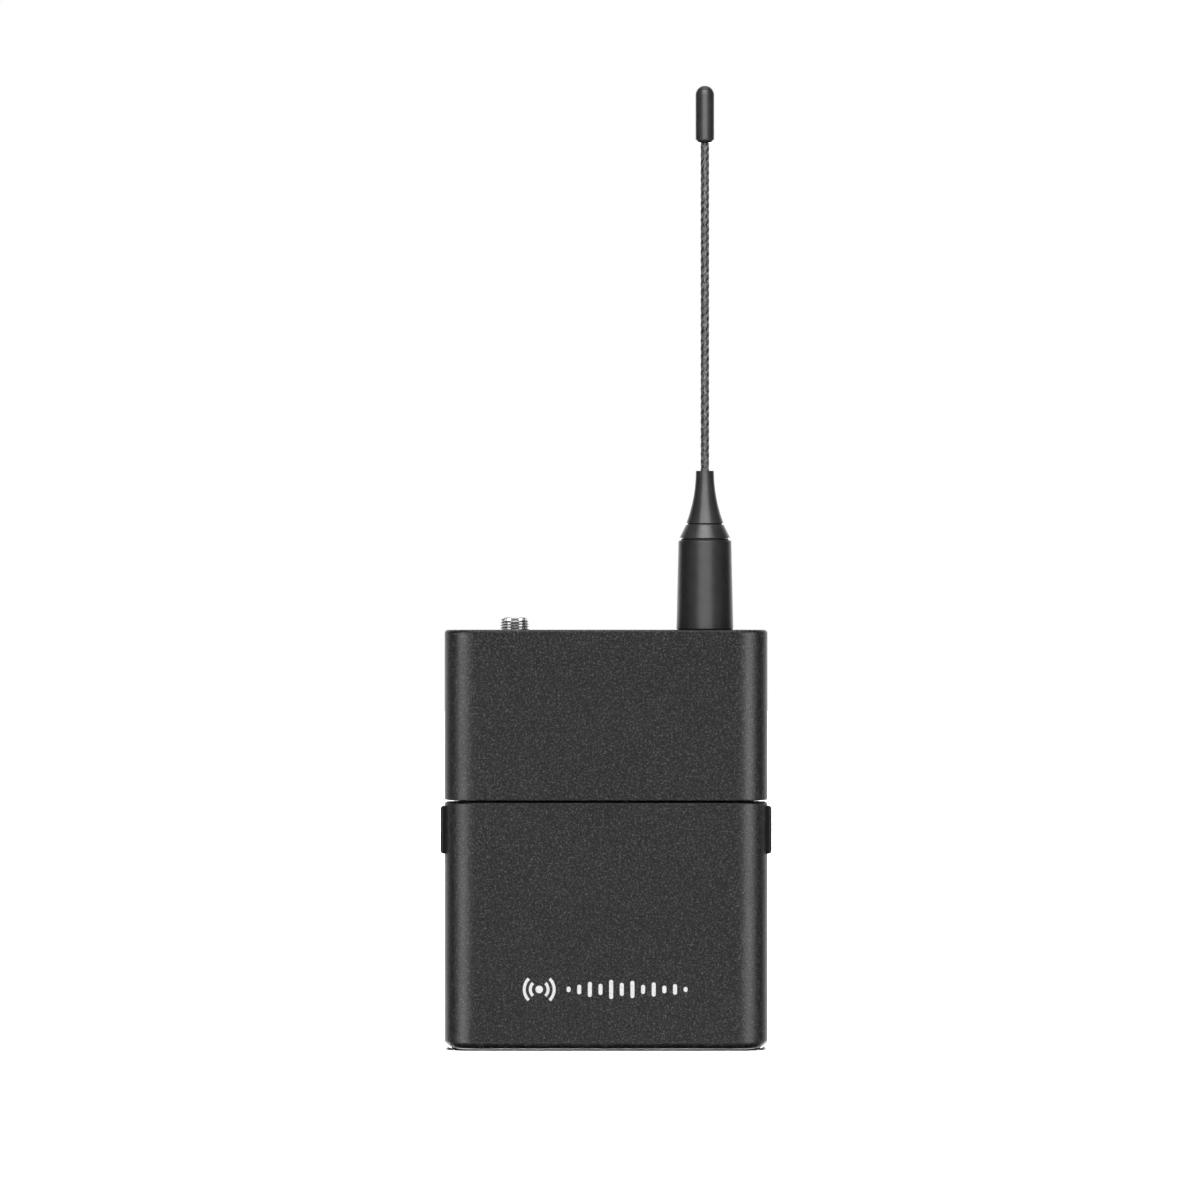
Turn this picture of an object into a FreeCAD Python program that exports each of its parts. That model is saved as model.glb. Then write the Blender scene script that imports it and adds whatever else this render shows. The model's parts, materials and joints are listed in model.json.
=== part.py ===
import FreeCAD, Part
import Sketcher
import math
import os

# A slim body-worn radio transmitter, in millimetres, with every separate piece as its own solid.
# +X is to the right, +Y to the back and +Z up.  The origin is the middle of the face it stands on.
# All driving sizes are cells of one spreadsheet, and every piece is bound to those cells.

DRIVING_SIZES = {
    # Casing
    "body_width": 63.9,
    "body_depth": 20.0,
    "body_height": 83.1,
    "corner_radius": 6.5,
    "wall": 1.5,
    "top_wall": 1.8,
    "top_edge": 0.7,
    "bottom_edge": 1.6,
    "lip_edge": 0.2,
    "shoulder_edge": 0.4,
    "seam_base": 49.0,
    "seam_gap": 0.4,
    # Battery flap and its hinge
    "flap_underside": 0.3,
    "flap_side_back": -1.0,
    "flap_floor_back": -6.8,
    "parting_gap": 0.25,
    "hinge_back": -7.7,
    "hinge_height": 2.6,
    "pin_radius": 0.7,
    "running_gap": 0.05,
    "ear_radius": 1.9,
    "ear_inner": 22.9,
    "ear_outer": 25.4,
    "lug_radius": 1.45,
    "lug_inner": 25.75,
    "lug_outer": 27.05,
    # Side latches
    "latch_front": -5.4,
    "latch_back": -1.8,
    "latch_base": 38.8,
    "latch_top": 48.3,
    "latch_stand": 0.8,
    "latch_edge": 0.6,
    "latch_gap": 0.1,
    "boss_inner": 29.6,
    "latch_flange": 1.0,
    "latch_spring_bore": 1.5,
    "latch_spring_radius": 1.1,
    "latch_spring_wire": 0.35,
    "retainer_outer": 27.0,
    "retainer_thick": 0.8,
    # Chassis and battery bay
    "bay_width": 58.0,
    "bay_wall": 0.8,
    "bay_back": 8.4,
    "bay_front": -4.8,
    "bay_base": 1.6,
    "bay_top": 34.0,
    "bay_floor": 0.6,
    "bulkhead": 1.5,
    "bay_corner": 4.4,
    "cheek_outer": 25.9,
    "deck_base": 49.3,
    "deck_thick": 1.2,
    "collar_top": 54.0,
    "collar_wall": 1.2,
    "collar_inset": 0.25,
    # Round cells lying across the bay
    "cell_radius": 7.25,
    "cell_length": 50.5,
    "cell_back": 0.1,
    "lower_cell_height": 9.6,
    "upper_cell_height": 24.5,
    "cell_tip": 26.75,
    "contact_sheet": 0.3,
    # Controls under the flap
    "panel_front": -6.6,
    "panel_thick": 0.8,
    "button_front": -7.5,
    "button_height": 42.0,
    "button_offset": 10.0,
    "button_gap": 0.15,
    "control_board_front": -2.0,
    "control_board_thick": 0.8,
    # Main board
    "board_half_width": 27.0,
    "board_front": 4.6,
    "board_thick": 1.0,
    "board_base": 55.5,
    "board_top": 79.5,
    # Audio jack
    "jack_offset": -18.1,
    "jack_stand": 2.4,
    "jack_crest": 2.9,
    "jack_root": 2.62,
    "jack_pitch": 0.53,
    "jack_bore": 1.8,
    # Mute slide
    "slot_length": 8.0,
    "slot_width": 3.4,
    "slide_length": 4.4,
    "slide_travel": 3.2,
    # Antenna
    "antenna_offset": 19.6,
    "ferrule_foot": 5.64,
    "ferrule_head": 5.25,
    "ferrule_height": 17.75,
    "ring_gap": 0.3,
    "ring_foot": 5.05,
    "ring_head": 3.78,
    "ring_height": 2.8,
    "boot_foot": 3.70,
    "boot_head": 1.80,
    "boot_height": 10.35,
    "whip_radius": 0.85,
    "tip_base": 96.5,
    "tip_radius": 1.85,
    "tip_length": 11.4,
    # Belt clip of bent wire
    "clip_wire": 1.0,
    "clip_pivot_back": 12.2,
    "clip_pivot_height": 72.0,
    "clip_leg": 11.5,
    "clip_bow_back": 15.4,
    "clip_foot_height": 14.5,
    "clip_lug_inner": 14.4,
    "clip_lug_outer": 18.6,
    # Screws
    "screw_radius": 1.0,
    "screw_head": 2.0,
}

doc = FreeCAD.newDocument("transmitter")
sheet = doc.addObject("Spreadsheet::Sheet", "sizes")


class Size:
    """A length that is known as a number and as the sheet expression that drives it."""

    def __init__(self, value, text):
        self.value = value
        self.text = text

    def __add__(self, other):
        return combined(self, "+", other)

    def __radd__(self, other):
        return combined(other, "+", self)

    def __sub__(self, other):
        return combined(self, "-", other)

    def __rsub__(self, other):
        return combined(other, "-", self)

    def __mul__(self, other):
        return combined(self, "*", other)

    def __rmul__(self, other):
        return combined(other, "*", self)

    def __truediv__(self, other):
        return combined(self, "/", other)

    def __neg__(self):
        return combined(0, "-", self)


def sized(item):
    """A plain number as a Size; a Size stays as it is."""
    if isinstance(item, Size):
        return item
    return Size(float(item), "(%s)" % float(item))


def combined(first, sign, second):
    first, second = sized(first), sized(second)
    results = {
        "+": lambda a, b: a + b,
        "-": lambda a, b: a - b,
        "*": lambda a, b: a * b,
        "/": lambda a, b: a / b,
    }
    value = results[sign](first.value, second.value)
    return Size(value, "(%s %s %s)" % (first.text, sign, second.text))


def root(square):
    return Size(math.sqrt(square.value), "sqrt(%s)" % square.text)


def fill_sheet():
    """Write every driving size into the sheet, and return them as Size values by name."""
    sheet.set("A1", "size")
    sheet.set("B1", "millimetres")
    found = {}
    for row, (alias, value) in enumerate(DRIVING_SIZES.items(), start=2):
        sheet.set("A%d" % row, alias.replace("_", " "))
        sheet.set("B%d" % row, str(value))
        sheet.setAlias("B%d" % row, alias)
        found[alias] = Size(value, "sizes." + alias)
    doc.recompute()
    return found


class Sizes:
    """Every driving size as an attribute, such as size.body_width."""

    def __init__(self, found):
        self.__dict__.update(found)


size = Sizes(fill_sheet())

HALF_WIDTH = size.body_width / 2
HALF_DEPTH = size.body_depth / 2
TOP = size.body_height
CEILING = size.body_height - size.top_wall
HOUSING_BASE = size.seam_base + size.seam_gap
INNER_WIDTH = size.body_width - 2 * size.wall
INNER_DEPTH = size.body_depth - 2 * size.wall
INNER_RADIUS = size.corner_radius - size.wall
INNER_BACK = INNER_DEPTH / 2
BOARD_BACK = size.board_front + size.board_thick
REACH = 40.0
OVERCUT = 1.0

ALONG = {
    "x": FreeCAD.Rotation(FreeCAD.Vector(0, 0, 1), FreeCAD.Vector(1, 0, 0)),
    "y": FreeCAD.Rotation(FreeCAD.Vector(0, 0, 1), FreeCAD.Vector(0, 1, 0)),
    "z": FreeCAD.Rotation(),
    "-x": FreeCAD.Rotation(FreeCAD.Vector(0, 0, 1), FreeCAD.Vector(-1, 0, 0)),
    "-y": FreeCAD.Rotation(FreeCAD.Vector(0, 0, 1), FreeCAD.Vector(0, -1, 0)),
}


# ---------------------------------------------------------------- primitives and booleans

def bind(item, prop, value):
    item.setExpression(prop, sized(value).text)


def place(item, at, along="z"):
    item.Placement = FreeCAD.Placement(FreeCAD.Vector(), ALONG[along])
    for axis, value in zip("xyz", at):
        bind(item, "Placement.Base." + axis, value)
    return item


def block(name, low, high):
    item = doc.addObject("Part::Box", name)
    for prop, start, end in zip(("Length", "Width", "Height"), low, high):
        bind(item, prop, sized(end) - start)
    return place(item, low)


def rod(name, along, start, radius, length):
    item = doc.addObject("Part::Cylinder", name)
    bind(item, "Radius", radius)
    bind(item, "Height", length)
    return place(item, start, along)


def cone(name, along, start, radius, end_radius, length):
    item = doc.addObject("Part::Cone", name)
    bind(item, "Radius1", radius)
    bind(item, "Radius2", end_radius)
    bind(item, "Height", length)
    return place(item, start, along)


def hexagon(name, along, start, radius, length):
    item = doc.addObject("Part::Prism", name)
    item.Polygon = 6
    bind(item, "Circumradius", radius)
    bind(item, "Height", length)
    return place(item, start, along)


def fuse(name, *items):
    item = doc.addObject("Part::MultiFuse", name)
    item.Shapes = list(items)
    item.Refine = True
    return item


def common(name, *items):
    item = doc.addObject("Part::MultiCommon", name)
    item.Shapes = list(items)
    item.Refine = True
    return item


def cut(name, base, *tools):
    item = doc.addObject("Part::Cut", name)
    item.Base = base
    item.Tool = tools[0] if len(tools) == 1 else fuse(name + "_cutters", *tools)
    item.Refine = True
    return item


def mirrored(name, source):
    """The same piece on the other side of the middle plane X = 0."""
    item = doc.addObject("Part::Mirroring", name)
    item.Source = source
    item.Normal = FreeCAD.Vector(1, 0, 0)
    return item


def group(name, *items):
    """Several loose, equal pieces that share one node."""
    item = doc.addObject("Part::Compound", name)
    item.Links = list(items)
    return item


# ---------------------------------------------------------------- sketches and bodies

def body_sketch(name, role, offset=0):
    """A new body and a sketch on one of its origin planes, moved along that plane's normal."""
    body = doc.addObject("PartDesign::Body", name)
    plane = [item for item in body.Origin.OriginFeatures if item.Role == role][0]
    sketch = body.newObject("Sketcher::SketchObject", name + "_sketch")
    sketch.AttachmentSupport = (plane, [""])
    sketch.MapMode = "FlatFace"
    bind(sketch, "AttachmentOffset.Base.z", offset)
    return body, sketch


def outline(sketch, corners):
    """Draw a closed outline whose corners are bound to the sheet.

    A corner is (x, y), or (x, y, centre x, centre y, turn) where an arc leads on from it:
    turn is +1 for an anticlockwise arc and -1 for a clockwise one.
    """
    count = len(corners)
    ends = []
    for number, corner in enumerate(corners):
        following = corners[(number + 1) % count]
        x, y = sized(corner[0]), sized(corner[1])
        next_x, next_y = sized(following[0]), sized(following[1])
        if len(corner) == 2:
            start = FreeCAD.Vector(x.value, y.value, 0)
            end = FreeCAD.Vector(next_x.value, next_y.value, 0)
            sketch.addGeometry(Part.LineSegment(start, end), False)
            ends.append((1, 2))
            continue
        mid_x, mid_y, turn = sized(corner[2]), sized(corner[3]), corner[4]
        radius = root((x - mid_x) * (x - mid_x) + (y - mid_y) * (y - mid_y))
        leave = math.atan2(y.value - mid_y.value, x.value - mid_x.value)
        arrive = math.atan2(next_y.value - mid_y.value, next_x.value - mid_x.value)
        first, last = (leave, arrive) if turn > 0 else (arrive, leave)
        middle = FreeCAD.Vector(mid_x.value, mid_y.value, 0)
        circle = Part.Circle(middle, FreeCAD.Vector(0, 0, 1), radius.value)
        sketch.addGeometry(Part.ArcOfCircle(circle, first, last), False)
        ends.append((1, 2) if turn > 0 else (2, 1))
        index = sketch.addConstraint(Sketcher.Constraint("Radius", number, radius.value))
        bind(sketch, "Constraints[%d]" % index, radius)
    for number, corner in enumerate(corners):
        start, end = ends[number]
        following = (number + 1) % count
        joint = Sketcher.Constraint("Coincident", number, end, following, ends[following][0])
        sketch.addConstraint(joint)
        for kind, value in zip(("DistanceX", "DistanceY"), (sized(corner[0]), sized(corner[1]))):
            place_it = Sketcher.Constraint(kind, -1, 1, number, start, value.value)
            index = sketch.addConstraint(place_it)
            bind(sketch, "Constraints[%d]" % index, value)


def rounded_rectangle(half_width, half_height, radius, mid_x=0, mid_y=0):
    """The corners of a rounded rectangle, for outline()."""
    right, left = half_width + mid_x, mid_x - half_width
    top, bottom = half_height + mid_y, mid_y - half_height
    return [
        (left + radius, bottom),
        (right - radius, bottom, right - radius, bottom + radius, 1),
        (right, bottom + radius),
        (right, top - radius, right - radius, top - radius, 1),
        (right - radius, top),
        (left + radius, top, left + radius, top - radius, 1),
        (left, top - radius),
        (left, bottom + radius, left + radius, bottom + radius, 1),
    ]


def slab(name, role, start, length, corners):
    """An outline on an origin plane, padded by a length along the plane's normal."""
    body, sketch = body_sketch(name, role, start)
    outline(sketch, corners)
    pad = body.newObject("PartDesign::Pad", name + "_pad")
    pad.Profile = sketch
    bind(pad, "Length", length)
    return body


def turned(name, corners, at=(0, 0, 0), along="z"):
    """A half profile, given as radius and height, turned about the upright axis."""
    body, sketch = body_sketch(name, "XZ_Plane")
    outline(sketch, corners)
    turning = body.newObject("PartDesign::Revolution", name + "_turning")
    turning.Profile = sketch
    turning.ReferenceAxis = (sketch, ["V_Axis"])
    turning.Angle = 360
    return place(body, at, along)


def rounded_edges(body, level, axis, radius):
    """Round every edge of the body that lies wholly at one level of an axis."""
    doc.recompute()
    base = body.Tip
    names = []
    for number, edge in enumerate(base.Shape.Edges, start=1):
        box = edge.BoundBox
        low, high = {"x": (box.XMin, box.XMax), "z": (box.ZMin, box.ZMax)}[axis]
        if abs(low - level.value) < 0.001 and abs(high - level.value) < 0.001:
            names.append("Edge%d" % number)
    fillet = body.newObject("PartDesign::Fillet", body.Name + "_rounding")
    fillet.Base = (base, names)
    bind(fillet, "Radius", radius)
    return body


def rounded_block(name, width, depth, radius, low, high):
    """An upright block with rounded upright edges, centred on the origin."""
    corners = rounded_rectangle(width / 2, depth / 2, radius)
    return slab(name, "XY_Plane", low, sized(high) - low, corners)


def inner_block(name, low, high):
    """The space inside the outer walls."""
    return rounded_block(name, INNER_WIDTH, INNER_DEPTH, INNER_RADIUS, low, high)


def coil(name, along, start, wire, radius, length, turns, flare=0.0):
    """A round-wire coil spring; flare is the cone's half angle in degrees."""
    helix = doc.addObject("Part::Helix", name + "_line")
    bind(helix, "Radius", radius)
    bind(helix, "Height", length)
    bind(helix, "Pitch", sized(length) / turns)
    helix.Angle = flare
    place(helix, start, along)
    section = doc.addObject("Part::Circle", name + "_wire")
    bind(section, "Radius", wire)
    turn = ALONG[along].multiply(FreeCAD.Rotation(FreeCAD.Vector(1, 0, 0), 90))
    section.Placement = FreeCAD.Placement(FreeCAD.Vector(), turn)
    offset = ALONG[along].multVec(FreeCAD.Vector(1, 0, 0))
    for axis, value, part in zip("xyz", start, offset):
        bind(section, "Placement.Base." + axis, sized(value) + sized(radius) * round(part))
    doc.recompute()
    item = doc.addObject("Part::Sweep", name)
    item.Sections = [section]
    item.Spine = (helix, ["Edge%d" % (number + 1) for number in range(len(helix.Shape.Edges))])
    item.Solid = True
    item.Frenet = True
    return item


def wire_path(points, radii):
    """A wire of straight runs joined by tangent arcs, one radius for each inner point."""
    edges = []
    here = points[0]
    for before, corner, after, radius in zip(points, points[1:], points[2:], radii):
        inward = (before - corner).normalize()
        onward = (after - corner).normalize()
        half_angle = inward.getAngle(onward) / 2
        setback = radius / math.tan(half_angle)
        middle_line = (inward + onward).normalize()
        middle = corner + middle_line * (radius / math.sin(half_angle) - radius)
        start, end = corner + inward * setback, corner + onward * setback
        edges.append(Part.LineSegment(here, start).toShape())
        edges.append(Part.Arc(start, middle, end).toShape())
        here = end
    edges.append(Part.LineSegment(here, points[-1]).toShape())
    return Part.Wire(edges)


def case_screw(name, across, up, head_back, length, drive="y"):
    """A pan-head screw driven forwards from the back, with a six-sided socket in its head."""
    head = size.screw_head / 2
    body = fuse(
        name + "_blank",
        rod(name + "_head", "-y", (across, head_back, up), size.screw_head, head),
        rod(name + "_shank", "-y", (across, sized(head_back) - head, up), size.screw_radius, length),
    )
    socket = hexagon(name + "_socket", "-y", (across, head_back, up), size.screw_radius, head / 2)
    return cut(name, body, socket)


# ---------------------------------------------------------------- casing

CASE_SCREW_ACROSS = 22.0
SHELL_SCREW_HEIGHT = 42.0
HOUSING_SCREW_HEIGHT = 52.5
CASE_SCREW_HEAD_BACK = HALF_DEPTH - 0.1
BOARD_SCREW_ACROSS = 24.0
BOARD_SCREW_HEIGHTS = (58.5, 76.5)
LIGHT_PIPES_ACROSS = (-10.5, 9.5)
LIGHT_PIPE_BACK = 2.8
LIGHT_PIPE_RADIUS = 1.0


def screw_hole(name, across, up):
    """Clearance for a case screw's shank, and a counterbore for its head, in the back wall."""
    seat = CASE_SCREW_HEAD_BACK - size.screw_head / 2
    shank = rod(name + "_shank", "y", (across, INNER_BACK - OVERCUT, up), size.screw_radius + 0.1,
                size.wall + 2 * OVERCUT)
    head = rod(name + "_head", "y", (across, seat, up), size.screw_head + 0.1, OVERCUT * 2)
    return fuse(name, shank, head)


def clip_lugs():
    """Two lugs on the back, bored for the ends of the belt clip."""
    back, up = size.clip_pivot_back, size.clip_pivot_height
    nose, flank = 2.4, 1.6
    foot = HALF_DEPTH - size.wall / 2
    corners = [
        (foot, up - nose - flank),
        (HALF_DEPTH, up - nose - flank),
        (back, up - nose, back, up, 1),
        (back + nose, up, back, up, 1),
        (back, up + nose),
        (HALF_DEPTH, up + nose + flank),
        (foot, up + nose + flank),
    ]
    width = size.clip_lug_outer - size.clip_lug_inner
    right = slab("clip_lug_right", "YZ_Plane", size.clip_lug_inner, width, corners)
    return right, mirrored("clip_lug_left", right)


def upper_housing():
    outer = rounded_block("housing_outer", size.body_width, size.body_depth, size.corner_radius,
                          HOUSING_BASE, TOP)
    rounded_edges(outer, TOP, "z", size.top_edge)
    rounded_edges(outer, HOUSING_BASE, "z", size.lip_edge)
    hollow = inner_block("housing_hollow", HOUSING_BASE - OVERCUT, CEILING)
    shell = cut("housing_shell", outer, hollow)
    bosses = []
    for number, (side, up) in enumerate((s, u) for s in (-1, 1) for u in BOARD_SCREW_HEIGHTS):
        bosses.append(rod("housing_boss_%d" % number, "y",
                          (side * BOARD_SCREW_ACROSS, BOARD_BACK, up), 2.2,
                          INNER_BACK + size.wall / 2 - BOARD_BACK))
    solid = fuse("housing_solid", shell, *bosses, *clip_lugs())
    cutters = [
        rod("housing_jack_hole", "z", (size.jack_offset, 0, CEILING - OVERCUT),
            size.jack_crest + size.running_gap, size.top_wall + 2 * OVERCUT),
        rod("housing_antenna_hole", "z", (size.antenna_offset, 0, CEILING - OVERCUT),
            3.0 + size.running_gap, size.top_wall + 2 * OVERCUT),
        block("housing_mute_slot", (-size.slot_length / 2, -size.slot_width / 2, CEILING - OVERCUT),
              (size.slot_length / 2, size.slot_width / 2, TOP + OVERCUT)),
        rod("housing_clip_bore", "x", (-REACH / 2, size.clip_pivot_back, size.clip_pivot_height),
            size.clip_wire + size.running_gap, REACH),
    ]
    for number, across in enumerate(LIGHT_PIPES_ACROSS):
        cutters.append(rod("housing_light_hole_%d" % number, "z",
                           (across, LIGHT_PIPE_BACK, CEILING - OVERCUT),
                           LIGHT_PIPE_RADIUS, size.top_wall + 2 * OVERCUT))
    for number, side in enumerate((-1, 1)):
        cutters.append(screw_hole("housing_screw_hole_%d" % number,
                                  side * CASE_SCREW_ACROSS, HOUSING_SCREW_HEIGHT))
    for number, (side, up) in enumerate((s, u) for s in (-1, 1) for u in BOARD_SCREW_HEIGHTS):
        cutters.append(rod("housing_boss_bore_%d" % number, "y",
                           (side * BOARD_SCREW_ACROSS, BOARD_BACK - OVERCUT, up),
                           0.75, INNER_BACK - BOARD_BACK + OVERCUT))
    return cut("upper_housing", solid, *cutters)


LABEL_HALF_WIDTH = 18.0
LABEL_BASE = 8.0
LABEL_TOP = 30.0
LABEL_THICK = 0.2


def rear_shell():
    outer = rounded_block("rear_outer", size.body_width, size.body_depth, size.corner_radius,
                          0, size.seam_base)
    rounded_edges(outer, sized(0), "z", size.bottom_edge)
    rounded_edges(outer, size.seam_base, "z", size.shoulder_edge)
    hollow = inner_block("rear_hollow", size.wall, size.seam_base + OVERCUT)
    parting = size.flap_side_back + size.parting_gap
    front = block("rear_front_space", (-REACH, -REACH, size.wall),
                  (REACH, parting, size.seam_base + OVERCUT))
    swept = flap_corner_reach() + size.parting_gap
    floor_space = rod("rear_floor_space", "x", (-REACH, size.hinge_back, size.hinge_height),
                      swept, 2 * REACH)
    floor_front = block("rear_floor_front", (-REACH, -REACH, -OVERCUT),
                        (REACH, size.hinge_back, size.wall + OVERCUT))
    side_reach = size.flap_side_back - size.hinge_back + size.parting_gap
    inside = INNER_WIDTH / 2 - size.parting_gap
    side_space = rod("rear_side_space", "x", (inside, size.hinge_back, size.hinge_height),
                     side_reach, REACH)
    label = block("rear_label_pocket", (-LABEL_HALF_WIDTH, HALF_DEPTH - LABEL_THICK, LABEL_BASE),
                  (LABEL_HALF_WIDTH, HALF_DEPTH + OVERCUT, LABEL_TOP))
    holes = [screw_hole("rear_screw_hole_%d" % number, side * CASE_SCREW_ACROSS, SHELL_SCREW_HEIGHT)
             for number, side in enumerate((-1, 1))]
    return cut("rear_shell", outer, hollow, front, floor_space, floor_front, side_space,
               mirrored("rear_side_space_left", side_space), label, *holes)


def rear_label():
    return block("rear_label", (-LABEL_HALF_WIDTH, HALF_DEPTH - LABEL_THICK, LABEL_BASE),
                 (LABEL_HALF_WIDTH, HALF_DEPTH, LABEL_TOP))


def case_screws():
    """Four screws from the back: two hold the rear shell and two the upper housing."""
    screws = []
    for height in (SHELL_SCREW_HEIGHT, HOUSING_SCREW_HEIGHT):
        for side in (-1, 1):
            screws.append(case_screw("case_screw_%d" % len(screws), side * CASE_SCREW_ACROSS,
                                     height, CASE_SCREW_HEAD_BACK, 5.0))
    return group("case_screws", *screws)


# ---------------------------------------------------------------- battery flap and latches

def flap_corner_reach():
    """How far the rounded lower front edge of the flap reaches from the hinge axis."""
    across = size.hinge_back + HALF_DEPTH - size.bottom_edge
    up = size.hinge_height - size.flap_underside - size.bottom_edge
    return root(across * across + up * up) + size.bottom_edge


def swing_reach():
    """The largest radius about the hinge that passes under the upper housing."""
    return HOUSING_BASE - size.hinge_height - 0.2


def flap_limits():
    """Side view of the space that the flap may fill, with arcs about its hinge axis."""
    axis_y, axis_z = size.hinge_back, size.hinge_height
    side = size.flap_side_back - axis_y
    reach = swing_reach()
    rise = root(reach * reach - side * side)
    level = size.seam_base - axis_z
    run = root(reach * reach - level * level)
    foot = root(side * side - axis_z * axis_z)
    corners = [
        (-HALF_DEPTH - OVERCUT, 0),
        (axis_y + foot, 0, axis_y, axis_z, 1),
        (size.flap_side_back, axis_z),
        (size.flap_side_back, axis_z + rise, axis_y, axis_z, 1),
        (axis_y + run, size.seam_base),
        (-HALF_DEPTH - OVERCUT, size.seam_base),
    ]
    return slab("flap_limits", "YZ_Plane", -REACH, 2 * REACH, corners)


def latch_window(name, extra):
    """The opening for the right latch, wider than the latch by a gap all round."""
    return block(name, (size.boss_inner - OVERCUT, size.latch_front - extra, size.latch_base - extra),
                 (REACH, size.latch_back + extra, size.latch_top + extra))


def on_both_sides(name, item):
    return [item, mirrored(name + "_left", item)]


def battery_flap():
    outer = rounded_block("flap_outer", size.body_width, size.body_depth, size.corner_radius,
                          size.flap_underside, size.seam_base)
    rounded_edges(outer, size.flap_underside, "z", size.bottom_edge)
    rounded_edges(outer, size.seam_base, "z", size.shoulder_edge)
    hollow = inner_block("flap_hollow", size.flap_underside + size.wall, size.seam_base + OVERCUT)
    floor = block("flap_floor_space",
                  (-INNER_WIDTH / 2, size.flap_floor_back, -OVERCUT),
                  (INNER_WIDTH / 2, REACH, size.flap_underside + size.wall))
    shell = cut("flap_shell", outer, hollow, floor)
    boss = block("flap_boss", (size.boss_inner, size.latch_front - 0.6, size.latch_base - 1.0),
                 (INNER_WIDTH / 2 + 0.5, size.flap_side_back, size.seam_base - 0.1))
    ear = rod("flap_ear", "x", (size.ear_inner, size.hinge_back, size.hinge_height),
              size.ear_radius, size.ear_outer - size.ear_inner)
    solid = fuse("flap_solid", shell, *on_both_sides("flap_boss", boss),
                 *on_both_sides("flap_ear", ear))
    limited = common("flap_limited", solid, flap_limits())
    window = latch_window("flap_window", size.latch_gap)
    bore = rod("flap_ear_bore", "x", (size.ear_inner + 0.3, size.hinge_back, size.hinge_height),
               size.pin_radius + size.running_gap, size.ear_outer - size.ear_inner)
    relief = rod("flap_lug_relief", "x", (size.lug_inner - 0.2, size.hinge_back, size.hinge_height),
                 size.lug_radius + 0.25, size.lug_outer - size.lug_inner + 0.4)
    return cut("battery_flap", limited, *on_both_sides("flap_window", window),
               *on_both_sides("flap_ear_bore", bore), *on_both_sides("flap_lug_relief", relief))


def flap_hinge_pins():
    """Two short pins pressed into the chassis lugs; the flap's ears turn on them."""
    pin = rod("hinge_pin_right", "x", (size.ear_inner + 0.5, size.hinge_back, size.hinge_height),
              size.pin_radius, size.lug_outer - size.ear_inner - 0.5)
    return group("flap_hinge_pins", *on_both_sides("hinge_pin", pin))


LATCH_MIDDLE = (size.latch_front + size.latch_back) / 2
LATCH_HEIGHT = (size.latch_base + size.latch_top) / 2
LATCH_REST = size.boss_inner - size.running_gap
LATCH_FACE = HALF_WIDTH + size.latch_stand
LATCH_SPRING_END = HALF_WIDTH - 0.55


def latch_right():
    """A catch that slides inwards: an outer pad, an inner flange and a bore for its spring."""
    half_depth = (size.latch_back - size.latch_front) / 2
    half_height = (size.latch_top - size.latch_base) / 2
    pad = slab("latch_pad", "YZ_Plane", LATCH_REST - size.latch_flange,
               LATCH_FACE - LATCH_REST + size.latch_flange,
               rounded_rectangle(half_depth, half_height, sized(0.35), LATCH_MIDDLE, LATCH_HEIGHT))
    rounded_edges(pad, LATCH_FACE, "x", size.latch_edge)
    flange = block("latch_flange_plate",
                   (LATCH_REST - size.latch_flange, size.latch_front - 0.45, size.latch_base - 0.9),
                   (LATCH_REST, size.latch_back + 0.65, size.latch_top + 0.35))
    bore = rod("latch_bore", "x", (LATCH_REST - size.latch_flange - OVERCUT, LATCH_MIDDLE, LATCH_HEIGHT),
               size.latch_spring_bore, LATCH_SPRING_END - LATCH_REST + size.latch_flange + OVERCUT)
    return cut("latch_right", fuse("latch_blank", pad, flange), bore)


def latch_spring_right():
    wire = size.latch_spring_wire / 2
    length = LATCH_SPRING_END - size.retainer_outer - size.latch_spring_wire
    return coil("latch_spring_right", "x",
                (size.retainer_outer + wire, LATCH_MIDDLE, LATCH_HEIGHT), wire,
                size.latch_spring_radius, length, 5)


RETAINER_FOOT_INNER = 22.0
RETAINER_FOOT_FRONT = -INNER_BACK + 0.4
RETAINER_RIVET_ACROSS = 23.6
RETAINER_RIVET_RADIUS = 1.2


def latch_retainers():
    """Brackets fixed inside the flap's front wall that back up the latch springs."""
    inner = size.retainer_outer - size.retainer_thick
    plate = block("retainer_plate", (inner, RETAINER_FOOT_FRONT + 0.2, size.latch_base - 0.4),
                  (size.retainer_outer, size.latch_back + 0.4, size.latch_top - 0.3))
    foot = block("retainer_foot", (RETAINER_FOOT_INNER, RETAINER_FOOT_FRONT, size.latch_base + 0.6),
                 (inner, RETAINER_FOOT_FRONT + size.retainer_thick, size.latch_top - 1.3))
    rivet = rod("retainer_rivet", "y", (RETAINER_RIVET_ACROSS, -INNER_BACK, LATCH_HEIGHT),
                RETAINER_RIVET_RADIUS, 0.6)
    bracket = fuse("retainer_right", plate, foot, rivet)
    return group("latch_retainers", *on_both_sides("retainer", bracket))


# ---------------------------------------------------------------- chassis

HINGE_ARM_OUTLINE = ((1.0, 1.05), (3.7, 2.6), (3.7, 4.8), (-0.4, 1.39))
HINGE_WEB_BASE, HINGE_WEB_TOP = 2.4, 4.8


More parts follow.
